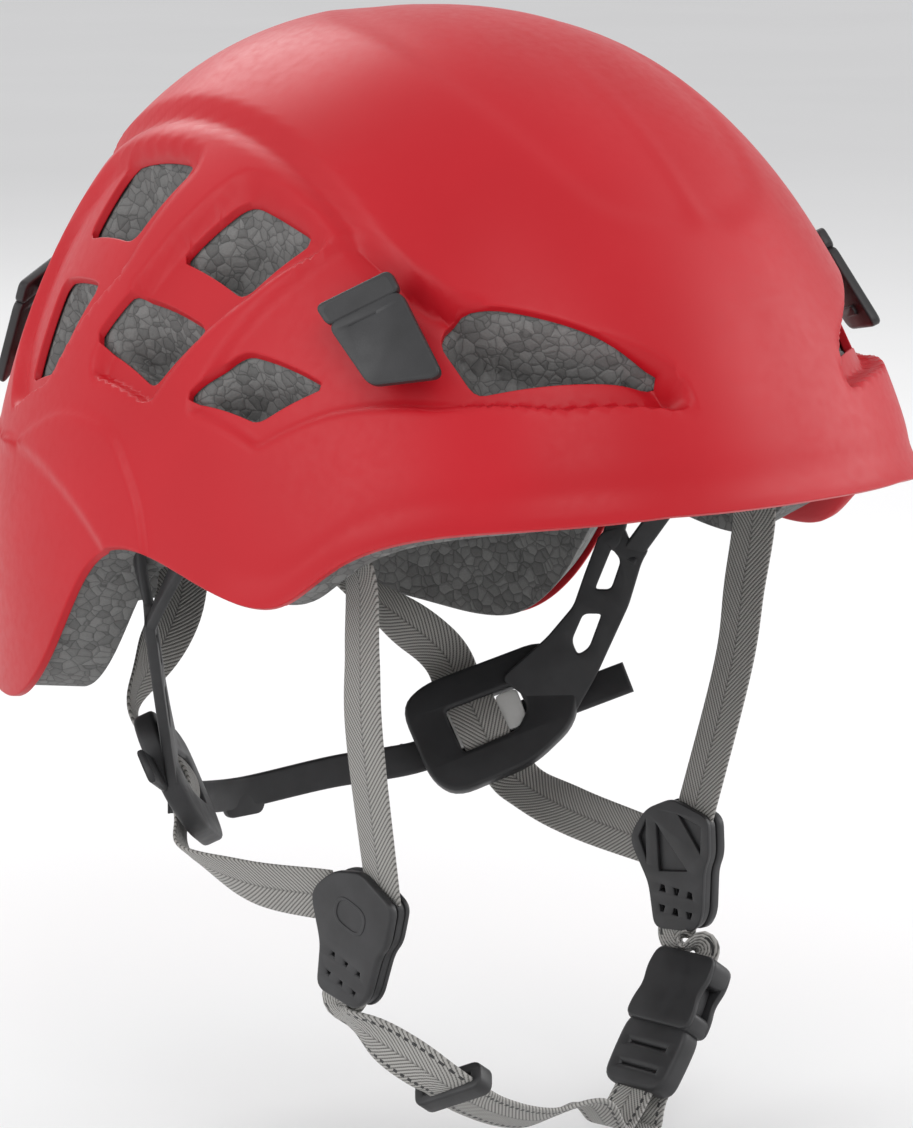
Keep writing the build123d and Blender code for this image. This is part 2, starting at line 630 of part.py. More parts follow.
before, after = (Vector(*route[keeper_station + k][0]) for k in (0, 1))
flat, flat_next = (Vector(*route[keeper_station + k][1]) for k in (0, 1))
here = before + (after - before) * keeper_share
run = (after - before).normalized()
across = flat + (flat_next - flat) * keeper_share
across = (across - run * across.dot(run)).normalized()
with BuildPart() as keeper:
    with BuildSketch(Plane(origin=here, x_dir=across, z_dir=run)) as ring:
        RectangleRounded(webbing_width + 2 * (keeper_clearance + keeper_wall),
                         webbing_thickness + 2 * (keeper_clearance + keeper_wall), 1.5)
        Rectangle(webbing_width + 2 * keeper_clearance, webbing_thickness + 2 * keeper_clearance,
                  mode=Mode.SUBTRACT)
    extrude(amount=keeper_length / 2, both=True)
keep(keeper.part, "strap_keeper")
print("keeper at", here, "run", run)
print("buckle down", axis_up * -1, "across", buckle.z_dir)
print("lock press axis", plate_plane.z_dir)
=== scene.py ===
# %% [markdown]
# # A climbing helmet
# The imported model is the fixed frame: it says where every piece is and what moves. Each piece that
# shows is built around it, in the same place, as a surface worked out with numpy.

# %% Load the frame
import json
import math
import bmesh
import bpy
import numpy as np
from mathutils import Matrix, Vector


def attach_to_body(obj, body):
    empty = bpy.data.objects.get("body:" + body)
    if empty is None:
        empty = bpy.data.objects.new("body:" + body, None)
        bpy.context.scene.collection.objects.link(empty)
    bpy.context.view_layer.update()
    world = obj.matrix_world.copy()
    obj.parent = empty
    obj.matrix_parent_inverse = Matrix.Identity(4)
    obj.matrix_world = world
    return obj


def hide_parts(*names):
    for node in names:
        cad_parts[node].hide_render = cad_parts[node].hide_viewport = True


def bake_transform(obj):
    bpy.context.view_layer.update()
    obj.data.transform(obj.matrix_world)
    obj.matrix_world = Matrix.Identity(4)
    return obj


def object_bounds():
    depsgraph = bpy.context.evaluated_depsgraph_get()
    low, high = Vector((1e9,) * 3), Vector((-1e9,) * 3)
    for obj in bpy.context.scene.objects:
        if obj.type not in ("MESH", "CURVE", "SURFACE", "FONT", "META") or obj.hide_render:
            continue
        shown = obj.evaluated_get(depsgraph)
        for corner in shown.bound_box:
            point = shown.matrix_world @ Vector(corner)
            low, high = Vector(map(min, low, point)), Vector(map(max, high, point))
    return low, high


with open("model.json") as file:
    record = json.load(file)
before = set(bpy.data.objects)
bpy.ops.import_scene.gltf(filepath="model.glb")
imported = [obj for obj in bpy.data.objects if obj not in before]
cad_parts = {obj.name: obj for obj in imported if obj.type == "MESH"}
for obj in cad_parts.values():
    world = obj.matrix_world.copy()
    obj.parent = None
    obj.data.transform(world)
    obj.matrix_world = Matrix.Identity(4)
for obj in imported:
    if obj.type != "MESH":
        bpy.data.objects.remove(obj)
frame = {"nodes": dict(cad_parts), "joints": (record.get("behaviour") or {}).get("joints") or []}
cad_box = [list(corner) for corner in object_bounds()]
joints = {joint["name"]: joint for joint in frame["joints"]}
MM = 0.001
print("CAD nodes", len(frame["nodes"]), "box", cad_box)

# %% [markdown]
# ## Camera, floor and light
# A long lens at chest height looks slightly down on the helmet from its right front. The floor
# lies just under the chin strap. Three large soft lamps and a pale world give the even light of a
# product picture, and keep the highlights on the shell broad.


# %% Camera
def unit(vector):
    """The vector, or each vector of an array, at length one."""
    vector = np.asarray(vector, float)
    return vector / np.linalg.norm(vector, axis=-1, keepdims=True)


image_height = 1128
view_azimuth, view_elevation = math.radians(-43.0), math.radians(9.5)
camera_distance, sensor_height = 1.4, 24.0
focal_reach, frame_right, frame_down = 4830, 4.5, 19.0
back = np.array([math.sin(view_azimuth) * math.cos(view_elevation),
                 -math.cos(view_azimuth) * math.cos(view_elevation), math.sin(view_elevation)])
right = np.array([math.cos(view_azimuth), math.sin(view_azimuth), 0.0])
lens = bpy.data.cameras.new("studio_camera")
lens.sensor_fit, lens.sensor_height = "VERTICAL", sensor_height
lens.lens = focal_reach / image_height * sensor_height
lens.shift_x, lens.shift_y = frame_right / image_height, -frame_down / image_height
camera = bpy.data.objects.new("studio_camera", lens)
pose = np.eye(4)
pose[:3, 0], pose[:3, 1], pose[:3, 2] = right, np.cross(back, right), back
pose[:3, 3] = back * camera_distance
camera.matrix_world = Matrix(pose.tolist())
bpy.context.scene.collection.objects.link(camera)
bpy.context.scene.camera = camera
print("camera", camera.location[:])


# %% [markdown]
# ## How meshes and materials are made
# One helper turns arrays of points and faces into an object whose place is in its mesh. Another
# starts a node material, so that each finish below is only its own few nodes.

# %% Mesh helpers
def new_piece(name, points, faces, material, uv=None, smooth=True):
    """Object at the origin from points in millimetres; uv gives one pair per point, in metres."""
    mesh = bpy.data.meshes.new(name)
    mesh.from_pydata((np.asarray(points, float).reshape(-1, 3) * MM).tolist(), [],
                     [tuple(face) for face in faces])
    if uv is not None:
        layer = mesh.uv_layers.new(name="UVMap")
        corner = np.zeros(len(mesh.loops), np.int32)
        mesh.loops.foreach_get("vertex_index", corner)
        layer.uv.foreach_set("vector", np.asarray(uv, np.float32)[corner].ravel())
    mesh.polygons.foreach_set("use_smooth", np.full(len(mesh.polygons), smooth))
    mesh.materials.append(material)
    mesh.update()
    piece = bpy.data.objects.new(name, mesh)
    bpy.context.scene.collection.objects.link(piece)
    return piece


def finish_edges(piece, width, angle=50.0, segments=2):
    """Round the sharp edges of a piece by width in millimetres, and keep its flats flat."""
    bevel = piece.modifiers.new("rounded_edges", "BEVEL")
    bevel.width, bevel.segments = width * MM, segments
    bevel.limit_method, bevel.angle_limit = "ANGLE", math.radians(angle)
    bevel.use_clamp_overlap = True
    flats = piece.modifiers.new("flat_faces", "WEIGHTED_NORMAL")
    flats.keep_sharp = True
    return piece


def attach(piece, body, slot, *nodes):
    """The piece moves with a body and stands for CAD nodes, which are hidden; slot is not used."""
    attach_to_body(piece, body)
    if nodes:
        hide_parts(*nodes)
    return piece


# %% Material helpers
def new_finish(name, colour, roughness):
    """Node material with its shader's plain colour and roughness; returns material and tree."""
    material = bpy.data.materials.new(name)
    material.use_nodes = True
    material.diffuse_color = (*colour, 1.0)
    shader = material.node_tree.nodes["Principled BSDF"]
    shader.inputs["Base Color"].default_value = (*colour, 1.0)
    shader.inputs["Roughness"].default_value = roughness
    return material, material.node_tree, shader


def node(tree, kind, inputs=(), **settings):
    """Add a node with its settings; inputs are (socket, value or output to link) pairs."""
    made = tree.nodes.new("ShaderNode" + kind)
    for key, value in settings.items():
        setattr(made, key, value)
    for socket, value in inputs:
        if isinstance(value, bpy.types.NodeSocket):
            tree.links.new(value, made.inputs[socket])
        else:
            made.inputs[socket].default_value = value
    return made


def maths(tree, operation, first, second=0.0):
    """One Math node's output."""
    return node(tree, "Math", [(0, first), (1, second)], operation=operation).outputs[0]


def ramp(tree, value, *stops):
    """Colour ramp through (position, colour) stops."""
    made = node(tree, "ValToRGB", [("Fac", value)])
    while len(made.color_ramp.elements) < len(stops):
        made.color_ramp.elements.new(0.5)
    for element, (position, colour) in zip(made.color_ramp.elements, stops):
        element.position, element.color = position, (*colour, 1.0)
    return made.outputs["Color"]


def bump(tree, shader, height, strength, distance):
    """Raise the surface by a height; distance is in millimetres."""
    made = node(tree, "Bump", [("Height", height), ("Strength", strength), ("Distance", distance * MM)])
    tree.links.new(made.outputs["Normal"], shader.inputs["Normal"])


def noise(tree, grain, detail=2.0, coordinates=None):
    """Noise whose grain is about this many millimetres."""
    place = coordinates or node(tree, "TexCoord").outputs["Object"]
    made = node(tree, "TexNoise", [("Vector", place), ("Scale", 1.0 / (grain * MM)), ("Detail", detail)])
    return made.outputs["Fac"]


# %% Floor, lamps and world
floor_finish, tree, shader = new_finish("pale_floor", (0.86, 0.86, 0.86), 0.9)
tree.links.new(ramp(tree, noise(tree, 400.0), (0.3, (0.85, 0.85, 0.85)), (0.7, (0.87, 0.87, 0.87))),
               shader.inputs["Base Color"])
floor_gap, floor_reach = 0.004, 9.0
floor_height = cad_box[0][2] - floor_gap
corners = np.array([(-1, -1, 0), (1, -1, 0), (1, 1, 0), (-1, 1, 0)]) * floor_reach
floor = new_piece("studio_floor", (corners + (0, 0, floor_height)) / MM, [(0, 1, 2, 3)], floor_finish)

lamps = {"key_panel": ((-0.9, -1.5, 1.5), 1.1, 9.0), "fill_panel": ((1.6, -0.9, 0.7), 1.2, 13.0),
         "back_panel": ((0.3, 1.6, 1.4), 1.2, 16.0), "left_panel": ((-1.7, 0.5, 0.6), 1.0, 7.0)}
for name, (spot, size, power) in lamps.items():
    light = bpy.data.lights.new(name, "AREA")
    light.energy, light.size = power, size
    lamp = bpy.data.objects.new(name, light)
    lamp.location = spot
    lamp.rotation_mode = "QUATERNION"
    lamp.rotation_quaternion = lamp.location.to_track_quat("Z", "Y")
    bpy.context.scene.collection.objects.link(lamp)
world = bpy.data.worlds.new("pale_studio")
world.use_nodes = True
world.node_tree.nodes["Background"].inputs["Color"].default_value = (0.95, 0.95, 0.96, 1.0)
world.node_tree.nodes["Background"].inputs["Strength"].default_value = 0.75
bpy.context.scene.world = world
bpy.context.scene.view_settings.view_transform = "Standard"
print("lamps", len(lamps), "floor at", round(floor_height, 4))

# %% [markdown]
# ## Finishes
# The shell is satin injection-moulded plastic, the liner is expanded foam whose beads show, the
# fittings are charcoal plastic with a fine spark-eroded grain, and the straps are woven.


# %% Shell plastic
def shell_finish():
    """Satin red: a slow drift in tone and a faint orange peel."""
    material, tree, shader = new_finish("satin_red_shell", (0.50, 0.008, 0.016), 0.4)
    drift = noise(tree, 60.0)
    tree.links.new(ramp(tree, drift, (0.3, (0.48, 0.007, 0.014)), (0.7, (0.53, 0.009, 0.018))),
                   shader.inputs["Base Color"])
    scuff = noise(tree, 3.0, detail=6.0)
    tree.links.new(ramp(tree, scuff, (0.35, (0.37,) * 3), (0.75, (0.46,) * 3)), shader.inputs["Roughness"])
    bump(tree, shader, noise(tree, 0.7, detail=3.0), 0.06, 0.2)
    shader.inputs["Specular IOR Level"].default_value = 0.3
    return material


# %% Bead foam
def bead_finish(name, dark, light, bead=3.1):
    """Swollen beads pressed together: flat cells of slightly different grey with dark seams."""
    material, tree, shader = new_finish(name, light, 0.7)
    place = node(tree, "TexCoord").outputs["Object"]
    wobble = node(tree, "TexNoise", [("Vector", place), ("Scale", 300.0)]).outputs["Color"]
    shifted = node(tree, "MixRGB", [("Fac", 0.0012), ("Color1", place), ("Color2", wobble)],
                   blend_type="ADD").outputs["Color"]
    scale = 1.0 / (bead * MM)
    cells = node(tree, "TexVoronoi", [("Vector", shifted), ("Scale", scale)])
    seams = node(tree, "TexVoronoi", [("Vector", shifted), ("Scale", scale)], feature="DISTANCE_TO_EDGE")
    tone = node(tree, "SeparateColor", [("Color", cells.outputs["Color"])]).outputs["Red"]
    body = ramp(tree, tone, (0.0, dark), (1.0, light))
    seam = ramp(tree, seams.outputs["Distance"], (0.0, (0.5,) * 3), (0.06, (0.92,) * 3), (0.3, (1.0,) * 3))
    colour = node(tree, "MixRGB", [("Fac", 1.0), ("Color1", body), ("Color2", seam)], blend_type="MULTIPLY")
    fine = node(tree, "MixRGB", [("Fac", 0.25), ("Color1", colour.outputs["Color"]),
                                 ("Color2", noise(tree, 0.5, 4.0, place))], blend_type="SOFT_LIGHT")
    tree.links.new(fine.outputs["Color"], shader.inputs["Base Color"])
    height = maths(tree, "MINIMUM", seams.outputs["Distance"], 0.22)
    bump(tree, shader, height, 0.8, 0.9)
    shader.inputs["Specular IOR Level"].default_value = 0.35
    return material


# %% Charcoal and white plastics
def plastic_finish(name, dark, light, roughness, grain=0.35):
    """Moulded plastic: spark-eroded grain, patchy sheen from handling."""
    material, tree, shader = new_finish(name, light, roughness)
    tree.links.new(ramp(tree, noise(tree, 9.0, 3.0), (0.3, dark), (0.7, light)), shader.inputs["Base Color"])
    sheen = ramp(tree, noise(tree, 5.0, 5.0), (0.3, (roughness - 0.05,) * 3), (0.7, (roughness + 0.07,) * 3))
    tree.links.new(sheen, shader.inputs["Roughness"])
    bump(tree, shader, noise(tree, grain, 2.0), 0.25, 0.1)
    return material


# %% Woven webbing
def webbing_finish(name, dark, light, stitched=False):
    """Chevron weave: fine ribs that rise to the middle from both edges, on the strap's own UV map."""
    material, tree, shader = new_finish(name, light, 0.8)
    flat = node(tree, "SeparateXYZ", [("Vector", node(tree, "UVMap", uv_map="UVMap").outputs["UV"])])
    along, across = flat.outputs["X"], maths(tree, "ABSOLUTE", flat.outputs["Y"])
    slant = maths(tree, "ADD", maths(tree, "MULTIPLY", along, 0.75), across)
    rib = maths(tree, "SINE", maths(tree, "MULTIPLY", slant, 2 * math.pi / (1.25 * MM)))
    thread = maths(tree, "SINE", maths(tree, "MULTIPLY", along, 2 * math.pi / (0.55 * MM)))
    weave = maths(tree, "ADD", maths(tree, "MULTIPLY", rib, 0.38), maths(tree, "MULTIPLY", thread, 0.1))
    weave = maths(tree, "ADD", weave, 0.5)
    colour = ramp(tree, weave, (0.1, dark), (0.6, light))
    spine = ramp(tree, maths(tree, "DIVIDE", across, 0.5 * MM), (0.4, (0.72,) * 3), (1.0, (1.0,) * 3))
    mixed = node(tree, "MixRGB", [("Fac", 1.0), ("Color1", colour), ("Color2", spine)], blend_type="MULTIPLY")
    colour = mixed.outputs["Color"]
    if stitched:
        line = maths(tree, "ABSOLUTE", maths(tree, "SUBTRACT", across, 5.6 * MM))
        near = maths(tree, "LESS_THAN", line, 0.5 * MM)
        dash = maths(tree, "LESS_THAN", maths(tree, "FRACT", maths(tree, "DIVIDE", along, 2.6 * MM)), 0.55)
        mask = maths(tree, "MULTIPLY", near, dash)
        mixed = node(tree, "MixRGB", [("Fac", mask), ("Color1", colour), ("Color2", (0.03, 0.03, 0.03, 1))])
        colour = mixed.outputs["Color"]
    tree.links.new(colour, shader.inputs["Base Color"])
    bump(tree, shader, weave, 0.7, 0.35)
    shader.inputs["Sheen Weight"].default_value = 0.25
    shader.inputs["Sheen Roughness"].default_value = 0.5
    return material


# %% Pad cloth
def pad_finish():
    """Brushed knit cloth: a small honeycomb of loops with soft sheen."""
    material, tree, shader = new_finish("knit_pad_cloth", (0.05, 0.05, 0.055), 0.9)
    place = node(tree, "TexCoord").outputs["Object"]
    loops = node(tree, "TexVoronoi", [("Vector", place), ("Scale", 1.0 / (1.6 * MM))]).outputs["Distance"]
    tree.links.new(ramp(tree, loops, (0.1, (0.075, 0.075, 0.08)), (0.7, (0.03, 0.03, 0.034))),
                   shader.inputs["Base Color"])
    bump(tree, shader, loops, 0.8, 0.5)
    shader.inputs["Sheen Weight"].default_value = 0.3
    return material


red = shell_finish()
side_beads = bead_finish("grey_bead_foam", (0.13, 0.13, 0.127), (0.21, 0.21, 0.205))
crown_beads = bead_finish("crown_bead_foam", (0.10, 0.10, 0.098), (0.19, 0.19, 0.19), 3.2)
charcoal = plastic_finish("charcoal_plastic", (0.020, 0.020, 0.021), (0.030, 0.030, 0.032), 0.42)
soft_black = plastic_finish("cradle_plastic_black", (0.017, 0.017, 0.018), (0.026, 0.026, 0.028), 0.5)
white = plastic_finish("white_lock_plastic", (0.62, 0.62, 0.60), (0.72, 0.72, 0.70), 0.35)
webbing = webbing_finish("grey_chevron_webbing", (0.075, 0.073, 0.066), (0.37, 0.36, 0.34))
stitched = webbing_finish("stitched_chin_webbing", (0.10, 0.098, 0.09), (0.42, 0.41, 0.39), stitched=True)
cloth = pad_finish()
print("finishes", len(bpy.data.materials))

# %% [markdown]
# ## The crown surface
# The shell is a fan of arches. Each arch lies in a plane through one axis across the head, at a
# turn that goes from the brow over the top to the nape, and is a superellipse across the head.
# Two angles, turn and swing, name every point of it. A box or a ball could not follow that shape,
# and a formula lets the shell, the foam and the pads all come from the same surface.

# %% Crown formula, millimetres and degrees
half_width, half_length, rise, axis_height = 112.0, 143.0, 201.0, -45.0
arch_power = 2.5
reach_turn_step = 30.0
reach_shares = np.array([0.965, 0.965, 1.035, 1.005, 1.0, 1.07, 1.087, 1.035, 1.035])
shell_wall, liner_gap, liner_thickness = 2.3, 0.6, 18.0
liner_rise, front_rise = 3.5, 4.5


def arch_reach(turn):
    """Share of the half length or rise at a turn: a smooth cubic through a value every 30 degrees."""
    turn = np.clip(turn, 0.0, 180.0)
    low = np.minimum(turn // reach_turn_step, 5).astype(int)
    f = turn / reach_turn_step - low
    a, b, c, d = (reach_shares[low + k] for k in range(4))
    return b + 0.5 * f * (c - a + f * (2 * a - 5 * b + 4 * c - d + f * (3 * (b - c) + d - a)))


def crown(turn, swing, inset=0.0):
    """Point at turn and swing, moved in by inset: each arch is the curve where the sum of across
    over half width and out over radius, each to the arch power, is one."""
    turn, swing, inset = np.broadcast_arrays(turn, swing, inset)
    t, s = np.radians(turn), np.radians(swing)
    radius = arch_reach(turn) / np.hypot(np.cos(t) / half_length, np.sin(t) / rise) - inset
    a, b = np.sin(s), np.cos(s)
    total = (np.abs(a) / (half_width - inset)) ** arch_power + (np.abs(b) / radius) ** arch_power
    rho = total ** (-1 / arch_power)
    out = rho * b
    return np.stack([rho * a, -out * np.cos(t), axis_height + out * np.sin(t)], -1)


def chart(points):
    """Turn and swing of points of the crown; both sides of the head share one chart."""
    x, y, z = np.asarray(points, float).T
    return np.stack([np.degrees(np.arctan2(z - axis_height, -y)),
                     np.degrees(np.arctan2(np.abs(x), np.hypot(y, z - axis_height)))], -1)


def side_chart(corners):
    """Turn and swing of crown points given as the side view sees them, by y and z."""
    y, z = np.asarray(corners, float).T
    turn = np.degrees(np.arctan2(z - axis_height, -y))
    t = np.radians(turn)
    radius = arch_reach(turn) / np.hypot(np.cos(t) / half_length, np.sin(t) / rise)
    share = np.clip(np.hypot(y, z - axis_height) / radius, 0, 1)
    x = half_width * (1 - share ** arch_power) ** (1 / arch_power)
    return chart(np.stack([x, y, z], -1))


# %% Lower edge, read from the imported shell
def lower_edge():
    """Height of the shell's lower edge at each y: the lowest point of its mesh in 2 mm slices."""
    mesh = frame["nodes"]["outer_shell"].data
    points = np.zeros(len(mesh.vertices) * 3)
    mesh.vertices.foreach_get("co", points)
    ends = np.zeros(len(mesh.edges) * 2, np.int32)
    mesh.edges.foreach_get("vertices", ends)
    ends = points.reshape(-1, 3)[ends.reshape(-1, 2)] / MM
    share = np.linspace(0, 1, 25)[:, None, None]
    walk = (ends[None, :, 0] * (1 - share) + ends[None, :, 1] * share).reshape(-1, 3)
    slices = np.round(walk[:, 1] / 2).astype(int)
    first = slices.min()
    lowest = np.full(slices.max() - first + 1, np.inf)
    np.minimum.at(lowest, slices - first, walk[:, 2])
    y = (np.arange(len(lowest)) + first) * 2.0
    return y, lowest


edge_y, edge_z = lower_edge()
inner = slice(3, -3)
edge_y, edge_z = edge_y[inner], np.convolve(edge_z, np.ones(3) / 3, "same")[inner]


def above_edge(points):
    """Height of points over the lower edge."""
    return points[..., 2] - np.interp(points[..., 1], edge_y, edge_z)


print("lower edge from", edge_z.min(), "to", edge_z.max())

# %% [markdown]
# ## Outlines on the crown
# Vents, the raised cap, the channels and the recess at the brow are closed outlines on that chart.
# For each grid point the distance to an outline, positive inside, drives a smooth step in height.
# So a channel wall is a real slope in the mesh, not a bump painted on it.


# %% Outline helpers
def rounded(loop, cut):
    """Closed loop with each corner replaced by a short curve that starts cut away from it."""
    loop = np.asarray(loop, float)
    before, after = np.roll(loop, 1, 0) - loop, np.roll(loop, -1, 0) - loop
    size_before, size_after = (np.linalg.norm(v, axis=1, keepdims=True) for v in (before, after))
    start = loop + before * np.minimum(cut / size_before, 0.45)
    end = loop + after * np.minimum(cut / size_after, 0.45)
    f = np.linspace(0, 1, 6)[None, :, None]
    curve = (1 - f) ** 2 * start[:, None] + 2 * f * (1 - f) * loop[:, None] + f ** 2 * end[:, None]
    return curve.reshape(-1, loop.shape[1])


def spaced(loop, count):
    """The same closed loop as count evenly spaced points."""
    closed = np.vstack([loop, loop[:1]])
    length = np.concatenate([[0], np.cumsum(np.linalg.norm(np.diff(closed, axis=0), axis=1))])
    places = np.linspace(0, length[-1], count, endpoint=False)
    return np.stack([np.interp(places, length, closed[:, k]) for k in range(loop.shape[1])], -1)


def gap(outline, place, points):
    """Millimetres from points to an outline on the crown, positive inside it."""
    corner = crown(outline[:, 0], outline[:, 1])
    nearest = np.full(points.shape[:-1], np.inf)
    inside = np.zeros(points.shape[:-1], bool)
    for k in range(len(outline)):
        a, b = corner[k - 1], corner[k]
        way = b - a
        f = np.clip((points - a) @ way / (way @ way), 0, 1)
        nearest = np.minimum(nearest, np.linalg.norm(points - a - f[..., None] * way, axis=-1))
        (t0, s0), (t1, s1) = outline[k - 1], outline[k]
        crosses = (s0 > place[..., 1]) != (s1 > place[..., 1])
        level = t0 + (place[..., 1] - s0) * (t1 - t0) / (s1 - s0 if s1 != s0 else 1.0)
        inside ^= crosses & (place[..., 0] < level)
    return np.where(inside, nearest, -nearest)


def ease(distance, width):
    """Smooth step from 0 to 1 across a slope of this width, centred on distance 0."""
    share = np.clip(distance / width + 0.5, 0, 1)
    return share * share * (3 - 2 * share)


# %% Outlines of this shell
vents = {
    "upper_rear": [(59, 110), (21, 113), (38, 92), (67, 90)],
    "upper_front": [(-9, 106), (-37, 97), (-19, 81), (10, 89)],
    "lower_rear": [(77, 76), (50, 78), (67, 52), (84, 47)],
    "lower_middle": [(24, 77), (-7, 71), (11, 54), (38, 62)],
    "lower_front": [(-26, 65), (-55, 58), (-35, 47), (-8, 50)],
}
brow_vent = [(-74, -80, 84), (-46, -111, 75), (-32, -122, 63.5), (-77, -92, 63), (-79, -79, 76)]
cap = [(0, 140, 62), (-26, 137, 62), (-40, 112, 98), (-55, 81, 117), (-65, 36, 128), (-72, -5, 124),
       (-76, -34, 112), (-78, -54, 98), (-77, -68, 88), (-73, -79, 84), (-64, -94, 80),
       (-46, -111, 74), (-36, -119, 68), (-28, -125, 59), (-24, -128, 50), (0, -136, 42)]
rear_channel = [(-66, 74, 112), (-79, 18, 118), (-93, 38, 86), (-97, 68, 52), (-89, 92, 40),
                (-76, 104, 62), (-68, 98, 90)]
front_channel = [(-81, -3, 114), (-84, -41, 99), (-94, -18, 82), (-104, 13, 51), (-101, 42, 57),
                 (-93, 22, 88)]
brow_recess = [(-80, -47, 101), (-104, -5, 51), (-104, -33, 44), (-97, -55, 54.5), (-84, -84, 57.5),
               (-63, -109, 58), (-31, -127, 57), (-35, -120, 67), (-46, -112, 74), (-64, -95, 80),
               (-74, -79, 84), (-79, -62, 93)]
crown_panel = [(0, 40, 150), (-30, 20, 152), (-42, -30, 142), (-41, -56, 131), (-35, -84, 113),
               (-29, -94, 105), (0, -103, 99)]
nape_band = [(0, 140, 30), (-60, 122, 26), (-95, 88, 28), (-99, 74, 37), (-102, 52, 44), (-105, 26, 41),
             (-106, 10, 20), (-106, 0, -40), (0, 150, -40)]
outline_points = 56
vent_shift, vent_growth = np.array((4.0, 4.0)), 1.07
vent_outlines = []
for corners in vents.values():
    middle = np.mean(corners, axis=0)
    corners = middle + vent_shift + (np.array(corners) - middle) * vent_growth
    vent_outlines.append(spaced(rounded(side_chart(corners), 1.6), outline_points))
vent_outlines.append(spaced(rounded(chart(brow_vent), 1.2), outline_points))
shapes = {name: spaced(rounded(chart(points), cut), 2 * outline_points) for name, points, cut in
          (("cap", cap, 3.0), ("rear_channel", rear_channel, 2.0), ("front_channel", front_channel, 2.0),
           ("brow_recess", brow_recess, 1.2), ("crown_panel", crown_panel, 5.0),
           ("nape_band", nape_band, 3.0))}


# %% Height of the moulding over the plain crown
def moulding(turn, swing):
    """Height in millimetres: the cap stands over the sides, channels and brow recess go in."""
    place = np.stack([turn, np.abs(swing)], -1)
    points = crown(place[..., 0], place[..., 1])
    y = points[..., 1]
    recess = ease(gap(shapes["brow_recess"], place, points), 4.0)
    band = ease(-y - 70, 70) * (1 - recess)
    to_cap = gap(shapes["cap"], place, points)
    sides = (1 - band)
    height = -1.3 * (1 - ease(to_cap, 3.4)) * sides - 1.7 * np.exp(-((to_cap + 3.2) / 2.4) ** 2) * sides
    height -= (1.6 + 3.4 * ease(-y - 85, 50)) * recess
    for name in ("rear_channel", "front_channel"):
        height -= 3.2 * ease(gap(shapes[name], place, points), 3.4)
    height -= 0.9 * ease(gap(shapes["crown_panel"], place, points), 9.0)
    height += 1.1 * ease(gap(shapes["nape_band"], place, points), 3.0)
    rim = above_edge(points)
    lip = ease(-y - 30, 50)
    height += lip * (2.6 * np.exp(-np.maximum(rim, 0) / 3.2) - 0.5 * np.exp(-((rim - 9) / 4) ** 2))
    return height, place, points


# %% [markdown]
# ## Cutting a grid along a curve
# A grid of squares has stair-stepped holes. Here each square corner next to a vent or to the lower
# edge slides along its grid line until it lies on the curve, and squares beyond it are dropped.
# The outer and inner skins share those squares, so the wall between them closes every opening.


# %% Grid cutting
def snap_grid(turn, swing, keep):
    """Slide grid corners onto the curve where keep is zero; returns the moved grid and faces."""
    best = np.full(turn.shape, np.inf)
    new_turn, new_swing, level = turn.copy(), swing.copy(), keep.copy()
    for axis in (0, 1):
        low = [slice(None), slice(None)]
        high = [slice(None), slice(None)]
        low[axis], high[axis] = slice(None, -1), slice(1, None)
        low, high = tuple(low), tuple(high)
        crosses = keep[low] * keep[high] < 0
        f = np.where(crosses, keep[low] / np.where(crosses, keep[low] - keep[high], 1), 0)
        for end, share, picked in ((low, f, crosses & (f <= 0.5)), (high, 1 - f, crosses & (f > 0.5))):
            closer = picked & (share < best[end])
            for old, moved in ((turn, new_turn), (swing, new_swing)):
                target = old[low] + f * (old[high] - old[low])
                moved[end] = np.where(closer, target, moved[end])
            best[end] = np.where(closer, share, best[end])
            level[end] = np.where(picked, 0.0, level[end])
    rows, columns = turn.shape
    index = np.arange(rows * columns).reshape(rows, columns)
    quad = np.stack([index[:-1, :-1], index[:-1, 1:], index[1:, 1:], index[1:, :-1]], -1).reshape(-1, 4)
    value = level.ravel()[quad]
    whole = (value.max(1) > 0) & (value.min(1) >= 0)
    faces = [tuple(f) for f in quad[whole]]
    mixed = (value.max(1) > 0) & (value.min(1) < 0)
    for k in range(4):
        corner = mixed & (value[:, k] > 0)
        faces += [tuple(f) for f in np.stack([quad[corner, k - 1], quad[corner, k],
                                              quad[corner, (k + 1) % 4]], -1)]
    return new_turn, new_swing, faces


def thick_layer(name, outer, inner, faces, material, smooth=True):
    """Closed piece from two skins that share faces, with a wall along every open edge."""
    count = outer.reshape(-1, 3).shape[0]
    edges = []
    for corners in (4, 3):
        same = np.array([f for f in faces if len(f) == corners], int).reshape(-1, corners)
        edges += [same[:, [k, (k + 1) % corners]] for k in range(corners)]
    edges = np.concatenate(edges)
    key = np.sort(edges, 1) @ np.array([count, 1])
    _, first, uses = np.unique(key, return_index=True, return_counts=True)
    rim = edges[first[uses == 1]]
    walls = [(b, a, a + count, b + count) for a, b in rim.tolist()]
    under = [tuple(v + count for v in reversed(f)) for f in faces]
    points = np.vstack([outer.reshape(-1, 3), inner.reshape(-1, 3)])
    everything = [tuple(int(v) for v in f) for f in faces] + walls + under
    used = np.unique(np.concatenate([np.array(f) for f in everything]))
    renumber = np.zeros(len(points), int)
    renumber[used] = np.arange(len(used))
    renumbered = [tuple(int(renumber[v]) for v in f) for f in everything]
    return new_piece(name, points[used], renumbered, material)


def crown_grid(rows, columns, first=13.0, last=191.0, reach=69.0):
    """Even grid of turns and swings."""
    return np.meshgrid(np.linspace(first, last, rows), np.linspace(reach, -reach, columns), indexing="ij")


